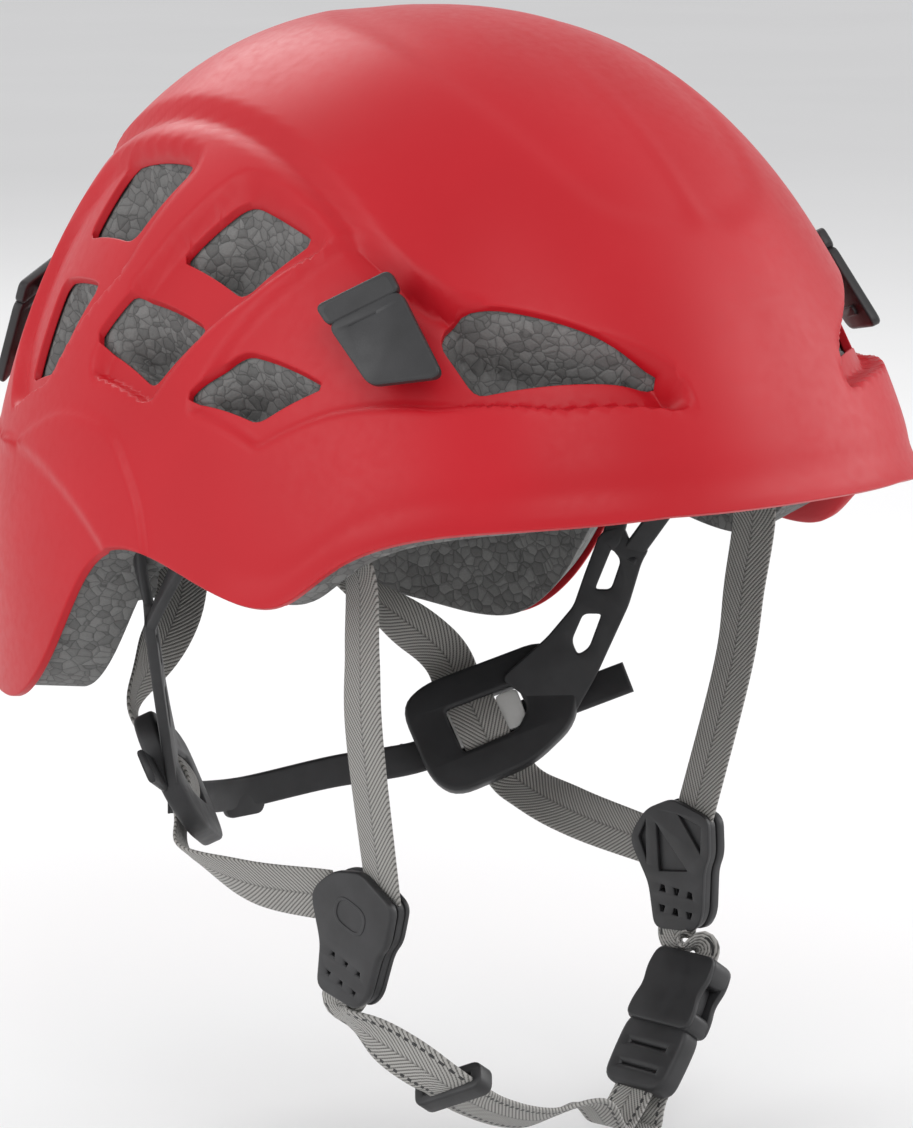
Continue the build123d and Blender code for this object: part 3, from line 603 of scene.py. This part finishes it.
# %% Outer shell
turn, swing = crown_grid(250, 220)
_, place, points = moulding(turn, swing)
keep = above_edge(points)
for outline in vent_outlines:
    keep = np.minimum(keep, -gap(outline, place, points))
turn, swing, faces = snap_grid(turn, swing, keep)
height, _, _ = moulding(turn, swing)
shell = thick_layer("shell_moulding", crown(turn, swing, -height), crown(turn, swing, shell_wall - height),
                    faces, red)
finish_edges(shell, 0.8, angle=55.0)
attach(shell, "helmet", "shell", "outer_shell")
print("shell faces", len(shell.data.polygons))

# %% [markdown]
# ## The bead foam liner
# Under the shell lies a thick layer of expanded foam. It follows the shell's own relief, and behind
# each vent it drops into a pocket with soft walls, where the beads show. It comes from the same
# formula and cutter, with a side part and a crown part that meet under the cap.


# %% Foam liner
def foam_layer(name, rows, columns, keep_side, material):
    """Foam between the shell and the head; keep_side picks the part above or below the split."""
    turn, swing = crown_grid(rows, columns)
    _, _, points = moulding(turn, swing)
    split = (points[..., 2] - crown_split) * keep_side
    rise_here = liner_rise + front_rise * ease(-points[..., 1] - 30, 60)
    keep = np.minimum(above_edge(points) - rise_here, split)
    turn, swing, faces = snap_grid(turn, swing, keep)
    height, place, points = moulding(turn, swing)
    height = np.minimum(height, 0)
    pocket = np.zeros(turn.shape)
    for outline in vent_outlines:
        pocket = np.maximum(pocket, ease(gap(outline, place, points) - pocket_lip, pocket_slope))
    outer = shell_wall + liner_gap - height + pocket_depth * pocket
    inner = shell_wall + liner_gap + liner_thickness
    outer = np.minimum(outer, inner - thinnest_foam)
    return thick_layer(name, crown(turn, swing, outer), crown(turn, swing, inner), faces, material)


crown_split, pocket_lip, pocket_slope, pocket_depth, thinnest_foam = 118.0, 3.6, 5.0, 9.0, 2.5
foam_side = foam_layer("foam_liner", 200, 150, -1, side_beads)
foam_crown = foam_layer("foam_crown", 120, 90, 1, crown_beads)
finish_edges(foam_side, 1.5)
attach(foam_side, "helmet", "bead_foam", "liner_side")
attach(foam_crown, "helmet", "crown_foam", "liner_crown")
print("foam faces", len(foam_side.data.polygons), len(foam_crown.data.polygons))

# %% [markdown]
# ## Comfort pads
# The pads are thin cushions of knit cloth over soft foam, stuck to the inside of the liner. Each is
# a patch of the crown surface that swells towards the head and closes to a seam at its edge.


# %% Pads
def pad(name, node_name, turns, swings, thickness=5.0, side=1, rows=30, columns=40):
    """Cushion over a patch: its depth is thickness times a fourth root of one minus each patch
    coordinate to the fourth, so it is full in the middle and shuts at the seam."""
    a, b = np.meshgrid(np.linspace(-1, 1, rows), np.linspace(-1, 1, columns), indexing="ij")
    turn = (turns[0] + turns[1]) / 2 + a * (turns[1] - turns[0]) / 2 * (1 - 0.06 * b ** 2)
    swing = (swings[0] + swings[1]) / 2 + b * (swings[1] - swings[0]) / 2 * (1 - 0.06 * a ** 2)
    base = shell_wall + liner_gap + liner_thickness + pad_gap
    depth = thickness * ((1 - a ** 4) * (1 - b ** 4)) ** 0.4
    inside = crown(turn, side * swing, base + depth)
    outside = crown(turn, side * swing, base + 0 * depth)
    index = np.arange(rows * columns).reshape(rows, columns)
    quads = np.stack([index[:-1, :-1], index[1:, :-1], index[1:, 1:], index[:-1, 1:]], -1).reshape(-1, 4)
    if side < 0:
        quads = quads[:, ::-1]
    piece = thick_layer(name, inside, outside, [tuple(q) for q in quads], cloth)
    return attach(piece, "helmet", "pad_cloth", node_name)


pad_gap = 1.2
pad("brow_cushion", "brow_pad", (38, 54), (-36, 36))
pad("crown_cushion", "crown_pad", (72, 120), (-11, 11))
pad("nape_cushion_left", "nape_pad_left", (135, 155), (9, 32))
pad("nape_cushion_right", "nape_pad_right", (135, 155), (9, 32), side=-1)
print("pads done")

# %% [markdown]
# ## Places and flat mouldings
# A place is an origin and three directions. Clips, plates and dividers are flat mouldings with
# rounded edges: a filled flat curve with holes gives that outline and its edge radius at once, and
# it is turned into a mesh and carried to its place.


# %% Places
def make_place(origin, along, out):
    """Origin, along, across and out directions, square to each other."""
    out = unit(out)
    along = unit(np.asarray(along, float) - out * np.dot(along, out))
    return np.asarray(origin, float), along, np.cross(out, along), out


def at(place, u, v, w=0.0):
    """Point u along, v across and w out from a place."""
    return place[0] + u * place[1] + v * place[2] + w * place[3]


def mirrored(place):
    """The same place on the other side of the head."""
    return tuple(part * (-1, 1, 1) for part in place)


def joint_line(name):
    """A joint's point in millimetres and its axis."""
    joint = joints[name]
    return np.array(joint.get("pos_m", (0, 0, 0))) / MM, unit(joint["axis"])


def flat_way(node_name, towards):
    """Direction in which a flat node is thinnest, on the side of towards."""
    mesh = frame["nodes"][node_name].data
    points = np.zeros(len(mesh.vertices) * 3)
    mesh.vertices.foreach_get("co", points)
    points = points.reshape(-1, 3)
    _, _, ways = np.linalg.svd(points - points.mean(0), full_matrices=False)
    return ways[2] * np.sign(ways[2] @ np.asarray(towards, float))


def corner_cut(loop, cut):
    """Outline in the plane with rounded corners."""
    return rounded(np.asarray(loop, float), cut)


def moulded(name, outlines, low, high, edge, place, material):
    """Flat moulding from height low to high with edges of radius edge; later outlines are holes."""
    curve = bpy.data.curves.new(name, "CURVE")
    curve.dimensions, curve.fill_mode, curve.bevel_resolution = "2D", "BOTH", 2
    curve.extrude, curve.bevel_depth = ((high - low) / 2 - edge) * MM, edge * MM
    for loop in outlines:
        spline = curve.splines.new("POLY")
        spline.points.add(len(loop) - 1)
        flat = np.column_stack([loop * MM, np.zeros(len(loop)), np.ones(len(loop))])
        spline.points.foreach_set("co", flat.ravel())
        spline.use_cyclic_u = True
    helper = bpy.data.objects.new(name + "_outline", curve)
    bpy.context.scene.collection.objects.link(helper)
    bpy.context.view_layer.update()
    mesh = bpy.data.meshes.new_from_object(helper)
    points = np.zeros(len(mesh.vertices) * 3)
    mesh.vertices.foreach_get("co", points)
    points = points.reshape(-1, 3) / MM
    middle = (low + high) / 2
    world = place[0] + points[:, :1] * place[1] + points[:, 1:2] * place[2]
    world = world + (points[:, 2:] + middle) * place[3]
    faces = [tuple(p.vertices) for p in mesh.polygons]
    if np.linalg.det(np.stack(place[1:])) < 0:
        faces = [face[::-1] for face in faces]
    bpy.data.objects.remove(helper)
    bpy.data.meshes.remove(mesh)
    bpy.data.curves.remove(curve)
    piece = new_piece(name, world, faces, material)
    weld = bmesh.new()
    weld.from_mesh(piece.data)
    bmesh.ops.remove_doubles(weld, verts=weld.verts, dist=0.01 * MM)
    weld.to_mesh(piece.data)
    weld.free()
    piece.data.set_sharp_from_angle(angle=math.radians(32))
    return piece


def fitting(name, outlines, low, high, edge, place, material, body, slot, *nodes):
    """A flat moulding that rides on a body and stands for CAD nodes."""
    return attach(moulded(name, outlines, low, high, edge, place, material), body, slot, *nodes)


SIDES = (("left", 1), ("right", -1))

# %% [markdown]
# ## Headlamp clips
# Each clip is a thick flap hinged on a foot that is pegged through shell and foam. A thin slit runs
# along the hinge and a nub under the free end keeps a headband in.

# %% Headlamp clips
clip_middle_along, clip_hinge_down, clip_thick = 13.25, 6.0, 3.0
flap = corner_cut([(1.57, 6.4), (22.18, 6.4), (25, 33), (6.5, 26.5)], 2.6)
foot = corner_cut([(0, 0), (21.5, 0), (22.1, 5.6), (1.37, 5.6)], 1.6)
for end in ("front", "rear"):
    point, axis = joint_line(f"clip_flex_{end}_left")
    outward = flat_way(f"headlamp_clip_{end}_left", point - (0, 0, axis_height))
    down = np.cross(outward, axis)
    down = down if down[2] < 0 else -down
    origin = point - clip_middle_along * axis - clip_hinge_down * down - clip_thick / 2 * outward
    left_place = (origin, axis, down, outward)
    slit = corner_cut([(6, 8.6), (15, 8.6), (15, 9.5), (6, 9.5)], 0.3)
    nub = corner_cut([(12, 22), (19, 24), (19, 26.5), (12, 24.5)], 0.8)
    for side_name, side in SIDES:
        place = left_place if side > 0 else mirrored(left_place)
        label = f"{end}_{side_name}"
        clip = f"headlamp_clip_{label}"
        fitting(f"clip_flap_{label}", [flap, slit], 0.0, clip_thick, 0.7, place, charcoal, clip,
                "clip_plastic", clip)
        fitting(f"clip_nub_{label}", [nub], -1.0, 0.4, 0.3, place, charcoal, clip, "clip_plastic")
        fitting(f"clip_base_{label}", [foot], 0.0, clip_thick, 0.7, place, charcoal, "helmet", "clip_plastic")
        peg = frame["nodes"][f"clip_foot_{label}"].data
        peg.materials.clear()
        peg.materials.append(charcoal)
print("clips done")

# %% [markdown]
# ## Webbing
# A strap is a flat section with soft edges carried along a smooth path. Each station of the path
# has its own width direction, so the strap can twist, and its UV map runs in real metres along and
# across it, which keeps the weave the same size on every strap.


# %% Strap surface
def smooth_path(values, count):
    """Cubic through every value, with slopes from its neighbours, count samples a stretch."""
    values = np.asarray(values, float)
    padded = np.vstack([2 * values[0] - values[1], values, 2 * values[-1] - values[-2]])
    f = np.linspace(0, 1, count, endpoint=False)[:, None]
    runs = []
    for k in range(len(values) - 1):
        a, b, c, d = padded[k:k + 4]
        runs.append(b + 0.5 * f * (c - a + f * (2 * a - 5 * b + 4 * c - d + f * (3 * (b - c) + d - a))))
    return np.vstack(runs + [values[-1:]])


def strap(name, stations, material, width=15.0, thickness=1.5, samples=14, around=20):
    """Flat section carried along stations of (point, width direction). The section is the curve
    where across to the power of eight plus through to the power of two is one: flat, soft edged."""
    path = smooth_path([s[0] for s in stations], samples)
    way = smooth_path([unit(s[1]) for s in stations], samples)
    tangent = unit(np.gradient(path, axis=0))
    way = unit(way - tangent * np.sum(way * tangent, axis=1, keepdims=True))
    up = np.cross(tangent, way)
    angle = np.linspace(0, 2 * np.pi, around, endpoint=False)
    across = np.sign(np.cos(angle)) * np.abs(np.cos(angle)) ** (2 / 8) * width / 2
    through = np.sign(np.sin(angle)) * np.abs(np.sin(angle)) ** (2 / 3) * thickness / 2
    points = path[:, None] + across[None, :, None] * way[:, None] + through[None, :, None] * up[:, None]
    length = np.concatenate([[0], np.cumsum(np.linalg.norm(np.diff(path, axis=0), axis=1))])
    uv = np.stack(np.broadcast_arrays(length[:, None], across[None, :]), -1) * MM
    index = np.arange(len(path) * around).reshape(len(path), around)
    ring = np.roll(index, -1, 1)
    faces = np.stack([index[:-1], ring[:-1], ring[1:], index[1:]], -1).reshape(-1, 4)
    caps = [tuple(index[0][::-1].tolist()), tuple(index[-1].tolist())]
    return new_piece(name, points, [tuple(f) for f in faces.tolist()] + caps, material, uv.reshape(-1, 2))


# %% Places on the fittings
plate_centre, plate_out = np.array((62.0, 51.0, -66.0)), (0.68, 0.60, -0.42)
_, plate_forward = joint_line("lock_slide_left")
plate_place = make_place(plate_centre, plate_forward, plate_out)
divider_places = {}
divider_hinge_drop, cover_middle = 20.6, 1.9
for side_name, side in SIDES:
    point, axis = joint_line(f"cover_open_{side_name}")
    axis = axis * -np.sign(axis[1])
    out = np.array((side, 0.0, 0.0))
    up = np.array((0.0, axis[2], -axis[1]))
    divider_places[side_name] = (point + divider_hinge_drop * up - cover_middle * out, axis, up, out)
buckle_centre = np.array((52.0, -38.0, -144.0))
_, plug_way = joint_line("plug_slide")
buckle_place = make_place(buckle_centre, (0, -1, 0), np.cross((0, -1, 0), -plug_way))
print("divider centres", [np.round(p[0], 1).tolist() for p in divider_places.values()])


# %% Side straps
def side_point(y, z, inset):
    """Point of the left half of the crown at y and z."""
    turn, swing = side_chart([(y, z)])[0]
    return crown(turn, swing, inset)


def flip(vector, side):
    """Mirror a left-hand point or direction to this side."""
    return np.asarray(vector, float) * (side, 1, 1)


strap_clear, plate_half = 0.4, 3.5
root = side_point(-45, 30, shell_wall + liner_gap + liner_thickness) - (5, 0, 0)
strap_layer = plate_half + 0.75 + strap_clear
for side_name, side in SIDES:
    divider = divider_places[side_name]
    stations = [(flip(root, side), (0.15 * side, -1, 0)), (flip((78, -46.5, 8), side), (0.15 * side, -1, 0)),
                (flip((75.5, -45, -16), side), (0.08 * side, -1, 0)),
                (flip((73, -43, -40), side), (0, -1, 0)), (at(divider, 5, 14, -1.2), divider[1])]
    attach(strap(f"front_webbing_{side_name}", stations, webbing), "helmet", "webbing",
           f"front_strap_{side_name}")
    wide = flip(plate_place[1], side)
    stations = [(flip((10, 108, 8), side), (0.6 * side, 0.4, 0.3)),
                (flip((33, 84, -24), side), (0.5 * side, 0.5, 0.3)),
                (flip(at(plate_place, -7, -27, 4), side), wide),
                (flip(at(plate_place, -5, -12, strap_layer), side), wide),
                (flip(at(plate_place, -4.2, -7, strap_layer - 1.2), side), wide)]
    piece = strap(f"rear_webbing_upper_{side_name}", stations, webbing)
    attach(piece, "helmet", "webbing", f"rear_strap_upper_{side_name}")
    stations = [(flip(at(plate_place, u, v, w), side), wide) for u, v, w in
                ((-4.2, -8, 3.2), (-3.6, -5, -1.0), (-3, 2, -2.9), (-2.5, 8, -1.4), (-2, 12, 3.0))]
    piece = strap(f"plate_webbing_{side_name}", stations, webbing, samples=8)
    attach(piece, "helmet", "webbing", f"strap_pass_{side_name}")
    stations = [(flip(at(plate_place, -1.6, 9.5, 3.4), side), wide),
                (flip(at(plate_place, -1, 13, strap_layer), side), wide),
                (flip(at(plate_place, 3, 24, strap_layer + 1), side), wide),
                (flip((65.5, 14, -92), side), (0.35 * side, 0, 0.9)), (at(divider, -14, 4, -1.4), divider[2])]
    piece = strap(f"rear_webbing_lower_{side_name}", stations, webbing)
    attach(piece, "helmet", "webbing", f"rear_strap_lower_{side_name}")

# %% Chin strap
chin_route = [((-53.5, -50.0, -138.0), (0.30, -0.87, 0.40)), ((-34.0, -49.0, -151.0), (0.15, -0.85, 0.5)),
              ((-10.0, -46.0, -160.0), (0.0, -0.85, 0.52)), ((14.0, -43.0, -161.0), (0.0, -0.93, 0.3))]
plug_low = -21.4
right_divider, left_divider = divider_places["right"], divider_places["left"]
stations = [(at(right_divider, 1, v, -2), right_divider[1]) for v in (-17, -26)] + chin_route
stations += [(at(buckle_place, 0, plug_low + v, w), (0, -1, 0)) for v, w in ((-14, 3.5), (3, 0.5))]
chin_webbing = strap("chin_webbing", stations, stitched)
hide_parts("chin_strap")
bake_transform(chin_webbing)
stations = [(at(buckle_place, 0, plug_low + y, -z), (0, -1, 0)) for y, z in
            ((9, 3.0), (8, 5.4), (-2, 6.0), (-8, 8.2), (-11.5, 8.0), (-9, 6.8))]
attach(strap("chin_webbing_end", stations, stitched), "chin_side", "webbing", "chin_strap_tail")
stations = [(at(left_divider, 1, -16, -2), left_divider[1]), (at(left_divider, 1, -24, -2), left_divider[1]),
            (at(buckle_place, 0, 23, 0.0), buckle_place[1]), (at(buckle_place, 0, 18, 0.0), buckle_place[1])]
attach(strap("short_chin_webbing", stations, stitched), "helmet", "webbing", "chin_strap_short")
print("straps done")

# %% [markdown]
# ## Head cradle
# Behind each ear a plate with a window holds the rear strap and the size lock. A ladder arm rises
# from it to two branches pegged in the liner, and a ribbed band runs round the nape.

# %% Cradle
plate_corners = [(-23, -10), (-15, -14), (24, -14), (31, -4), (24, 12), (8, 19), (-17, 20), (-22, 13)]
plate_hole = [(-13, -6), (13, -6), (14, 4), (8, 10), (-12, 11)]
arm_corners = [(-2, 12), (22, 12), (20, 30), (15.5, 53), (11, 66), (10.5, 71), (5, 68.5), (0.5, 71.5),
               (-3.5, 66), (0, 53), (3, 43), (2, 30)]
arm_holes = [[(0.8, 65), (6.5, 63.5), (9.5, 53.5), (4.4, 50)],
             [(5.6, 43), (11.2, 47), (14.5, 35), (12.5, 30.5), (7.7, 33.4)]]
arm_out, arm_up = unit((0.739, 0.666, -0.101)), unit((0.446, -0.371, 0.815))
arm_across = unit(np.cross(arm_out, arm_up))
arm_place = (plate_centre, arm_across, unit(np.cross(arm_across, arm_out)), arm_out)
branch_ends = [(-0.5, 68, 98.0, 25.0), (7.5, 68, 99.0, -2.0)]
branch_top = 14.0
for side_name, side in SIDES:
    place = plate_place if side > 0 else mirrored(plate_place)
    outline, hole = corner_cut(plate_corners, 6.0), corner_cut(plate_hole, 3.0)
    fitting(f"ear_plate_{side_name}", [outline, hole], -3.2, 3.2, 1.3, place, soft_black, "helmet",
            "cradle_plastic", f"cradle_{side_name}")
    fitting(f"ear_plate_rim_{side_name}", [hole * 1.22, hole * 1.08], 2.6, 4.0, 0.5, place, soft_black,
            "helmet", "cradle_plastic")
    place = arm_place if side > 0 else mirrored(arm_place)
    loops = [corner_cut(arm_corners, 2.2)] + [corner_cut(h, 2.2) for h in arm_holes]
    fitting(f"ladder_arm_{side_name}", loops, -1.5, 1.5, 0.6, place, soft_black, "helmet",
            "cradle_plastic")
    for k, (across, rise_up, x, y) in enumerate(branch_ends):
        start = at(arm_place, across, rise_up)
        knee = np.array((x, y, branch_top)) * (0.6, 0.5, 0.5) + start * (0.4, 0.5, 0.5)
        stations = [(start - arm_up * 4, (0.5, -0.65, 0)), (start, (0.5, -0.65, 0)), (knee, (0.4, -0.8, 0)),
                    ((x, y, branch_top), (0.1, -1.0, 0))]
        stations = [(flip(p, side), flip(w, side)) for p, w in stations]
        attach(strap(f"arm_branch_{side_name}_{k + 1}", stations, soft_black, width=6.5, thickness=3.0),
               "helmet", "cradle_plastic")

# %% Nape band
leg = [(at(plate_place, u, 4.5, 2.0), plate_place[2]) for u in (45.0, 32.0, 12.0, -8.0, -26.0)]
curve = [((27.5, 84.0, -84.5), (0, 0, 1)), ((0.0, 94.0, -88.5), (0, 0, 1))]
facing = np.sign(np.dot(leg[-1][1], (0, 0, 1)))
leg = [(p, np.asarray(w) * facing) for p, w in leg]
other = [(flip(p, -1), flip(w, -1)) for p, w in reversed(leg + curve[:1])]
band = strap("nape_strip", leg + curve + other, soft_black, width=10.0, thickness=2.2, samples=12)
attach(band, "helmet", "cradle_plastic", "nape_band")
middle_tab = corner_cut([(-9, 0), (9, 0), (6.5, 6.8), (-6.5, 6.8)], 2.0)
tab_place = make_place((0, 94.0, -88.5), (1, 0, 0), (0, -1, 0.06))
fitting("nape_tab", [middle_tab * (1, -1) if tab_place[2][2] > 0 else middle_tab], -1.1, 1.1, 0.4,
        tab_place, soft_black, "helmet", "cradle_plastic")
for side_name, side in SIDES:
    for k in range(7):
        share = k / 6
        middle = np.array((46.0, 72.0, -80.6)) * (1 - share) + np.array((31.0, 82.0, -83.9)) * share
        rib = [(flip(middle + np.array((0.62, 0.78, 0)) * 1.3 + (0, 0, z), side), (0.78 * side, -0.62, 0))
               for z in (-3.8, 0, 3.8)]
        attach(strap(f"nape_rib_{side_name}_{k + 1}", rib, soft_black, width=1.1, thickness=0.9, samples=3,
                     around=8), "helmet", "cradle_plastic")

# %% Size locks
lock_outline = corner_cut([(-13, -3.5), (-5, -3.5), (-4.5, -2.2), (4.5, -2.2), (5, -3.5), (11, -3.5),
                           (11, 7.5), (5, 7.5), (4.5, 6.2), (-4.5, 6.2), (-5, 7.5), (-13, 7.5)], 1.4)
for side_name, side in SIDES:
    place = plate_place if side > 0 else mirrored(plate_place)
    fitting(f"lock_slider_{side_name}", [lock_outline], -1.7, -0.1, 0.4, place, white,
            f"size_lock_{side_name}", "lock_plastic", f"size_lock_{side_name}")
print("cradle done")

# %% [markdown]
# ## Strap dividers
# Two moulded leaves hold the front and rear straps together. The inner leaf is open: a triangular
# window, diagonal ribs and six grip holes. The outer leaf is a smooth cover with a plain raised oval.

# %% Dividers
divider_corners = [(-12, 14), (-2, 19), (13, 16), (14, 5), (12, 0), (12, -14), (9, -19), (-7, -21),
                   (-10, -8), (-18, 3), (-17, 7)]
window = [(-8.5, 11.5), (6.5, -1.5), (-6.5, -4)]
rear_pocket, front_pocket = [(-12, 12), (-15.5, 5), (-11, -3)], [(0, 15.5), (11, 13.5), (11, 4)]
grips = []
for row, v in enumerate((-9.0, -15.2)):
    for column, u in enumerate((-4.2, 1.4, 7.0)):
        tip = 1 if (row + column) % 2 == 0 else -1
        half = np.array([(-1.7, -1.3), (1.7, -1.3), (1.0, 1.3), (-1.0, 1.3)]) * (1, tip)
        grips.append(corner_cut(half + (u, v + 0.5), 0.5))
angle = np.linspace(0, 2 * np.pi, 40, endpoint=False)
oval = np.column_stack([np.sign(np.cos(angle)) * np.abs(np.cos(angle)) ** 0.6 * 6.4,
                        np.sign(np.sin(angle)) * np.abs(np.sin(angle)) ** 0.8 * 4.2])
for side_name, side in SIDES:
    place = divider_places[side_name]
    outline = corner_cut(divider_corners, 3.0)
    holes = [corner_cut(window, 1.2), corner_cut(rear_pocket, 0.8), corner_cut(front_pocket, 1.0)] + grips
    fitting(f"divider_inner_leaf_{side_name}", [outline] + holes, -4.0, -2.6, 0.35, place, charcoal,
            "helmet", "buckle_plastic", f"divider_body_{side_name}")
    fitting(f"divider_core_{side_name}", [outline * 0.97] + grips, -2.7, -0.1, 0.35, place, charcoal,
            "helmet", "buckle_plastic")
    cover = f"divider_cover_{side_name}"
    fitting(f"divider_outer_leaf_{side_name}", [outline * 0.97] + grips, 0.4, 3.4, 0.8, place, charcoal,
            cover, "buckle_plastic", cover)
    ring = [oval + (-1.5, 5.5), oval * 0.86 + (-1.5, 5.5)]
    fitting(f"divider_oval_{side_name}", ring, 3.1, 3.65, 0.15, place, charcoal, cover, "buckle_plastic")
print("dividers done")

# %% [markdown]
# ## Side-release buckle
# The socket is two shallow faces and a head that holds the short strap; its sides are open so the
# prongs can be pressed. The plug carries the prongs, a centre tongue and two bars for the strap.

# %% Buckle
socket_face = corner_cut([(-12, -2), (12, -2), (12, 3), (10.6, 8), (12, 14), (11, 20), (-11, 20), (-12, 14),
                          (-10.6, 8), (-12, 3)], 2.5)
for name, low, high in (("front", 2.9, 5.0), ("back", -5.0, -2.9)):
    fitting(f"socket_face_{name}", [socket_face], low, high, 0.8, buckle_place, charcoal, "helmet",
            "buckle_plastic", "buckle_socket")
socket_head = corner_cut([(-11.6, 13.6), (11.6, 13.6), (11, 19.6), (-11, 19.6)], 2.0)
fitting("socket_head", [socket_head], -4.4, 4.4, 1.2, buckle_place, charcoal, "helmet", "buckle_plastic")
collar = corner_cut([(-11.8, -2), (11.8, -2), (11.8, 2.6), (-11.8, 2.6)], 1.2)
collar_hole = corner_cut([(-9.4, -1.2), (9.4, -1.2), (9.4, 1.8), (-9.4, 1.8)], 0.5)
fitting("socket_collar", [collar, collar_hole], -4.2, 4.2, 1.0, buckle_place, charcoal, "helmet",
        "buckle_plastic")
plug_body = corner_cut([(-10.5, -21.4), (10.5, -21.4), (11, -14), (11, -5), (9.5, -2.4),
                        (-9.5, -2.4), (-11, -5), (-11, -14)], 3.5)
slots = [corner_cut([(-8.5, v), (8.5, v), (8.5, v + 3.2), (-8.5, v + 3.2)], 0.8) for v in (-18.4, -11.4)]
fitting("plug_body", [plug_body] + slots, -3.8, 3.8, 1.6, buckle_place, charcoal, "chin_side",
        "buckle_plastic", "buckle_plug")
tongue = corner_cut([(-2, -3.4), (2, -3.4), (1.4, 12.6), (-1.4, 12.6)], 1.0)
fitting("plug_tongue", [tongue], -2.2, 2.2, 0.6, buckle_place, charcoal, "chin_side", "buckle_plastic")
for name, way in (("rear", -1), ("front", 1)):
    bow = corner_cut([(5.2, -1.6), (8.6, -1.6), (9.4, 4), (8.9, 9), (8.2, 12.4), (5.4, 12.4), (5.6, 6)], 2.0)
    bow = bow * (way, 1)
    fitting(f"prong_{name}", [bow[::way]], -2.3, 2.3, 0.7, buckle_place, charcoal, f"buckle_prong_{name}",
            "buckle_plastic", f"buckle_prong_{name}")

# %% Strap keeper
keeper_share = 0.4
(first, flat_first), (last, flat_last) = np.array(chin_route[:2])
keeper_at = first + (last - first) * keeper_share
keeper_across = flat_first + (flat_last - flat_first) * keeper_share
_, keeper_run = joint_line("keeper_slide")
ring_out = corner_cut([(-10.6, -3.4), (10.6, -3.4), (10.6, 3.4), (-10.6, 3.4)], 2.4)
ring_in = corner_cut([(-8.6, -1.7), (8.6, -1.7), (8.6, 1.7), (-8.6, 1.7)], 0.7)
ring_place = make_place(keeper_at, keeper_across, keeper_run)
fitting("keeper_ring", [ring_out, ring_in], -3.2, 3.2, 0.8, ring_place, charcoal, "strap_keeper",
        "buckle_plastic", "strap_keeper")
print("buckle done")
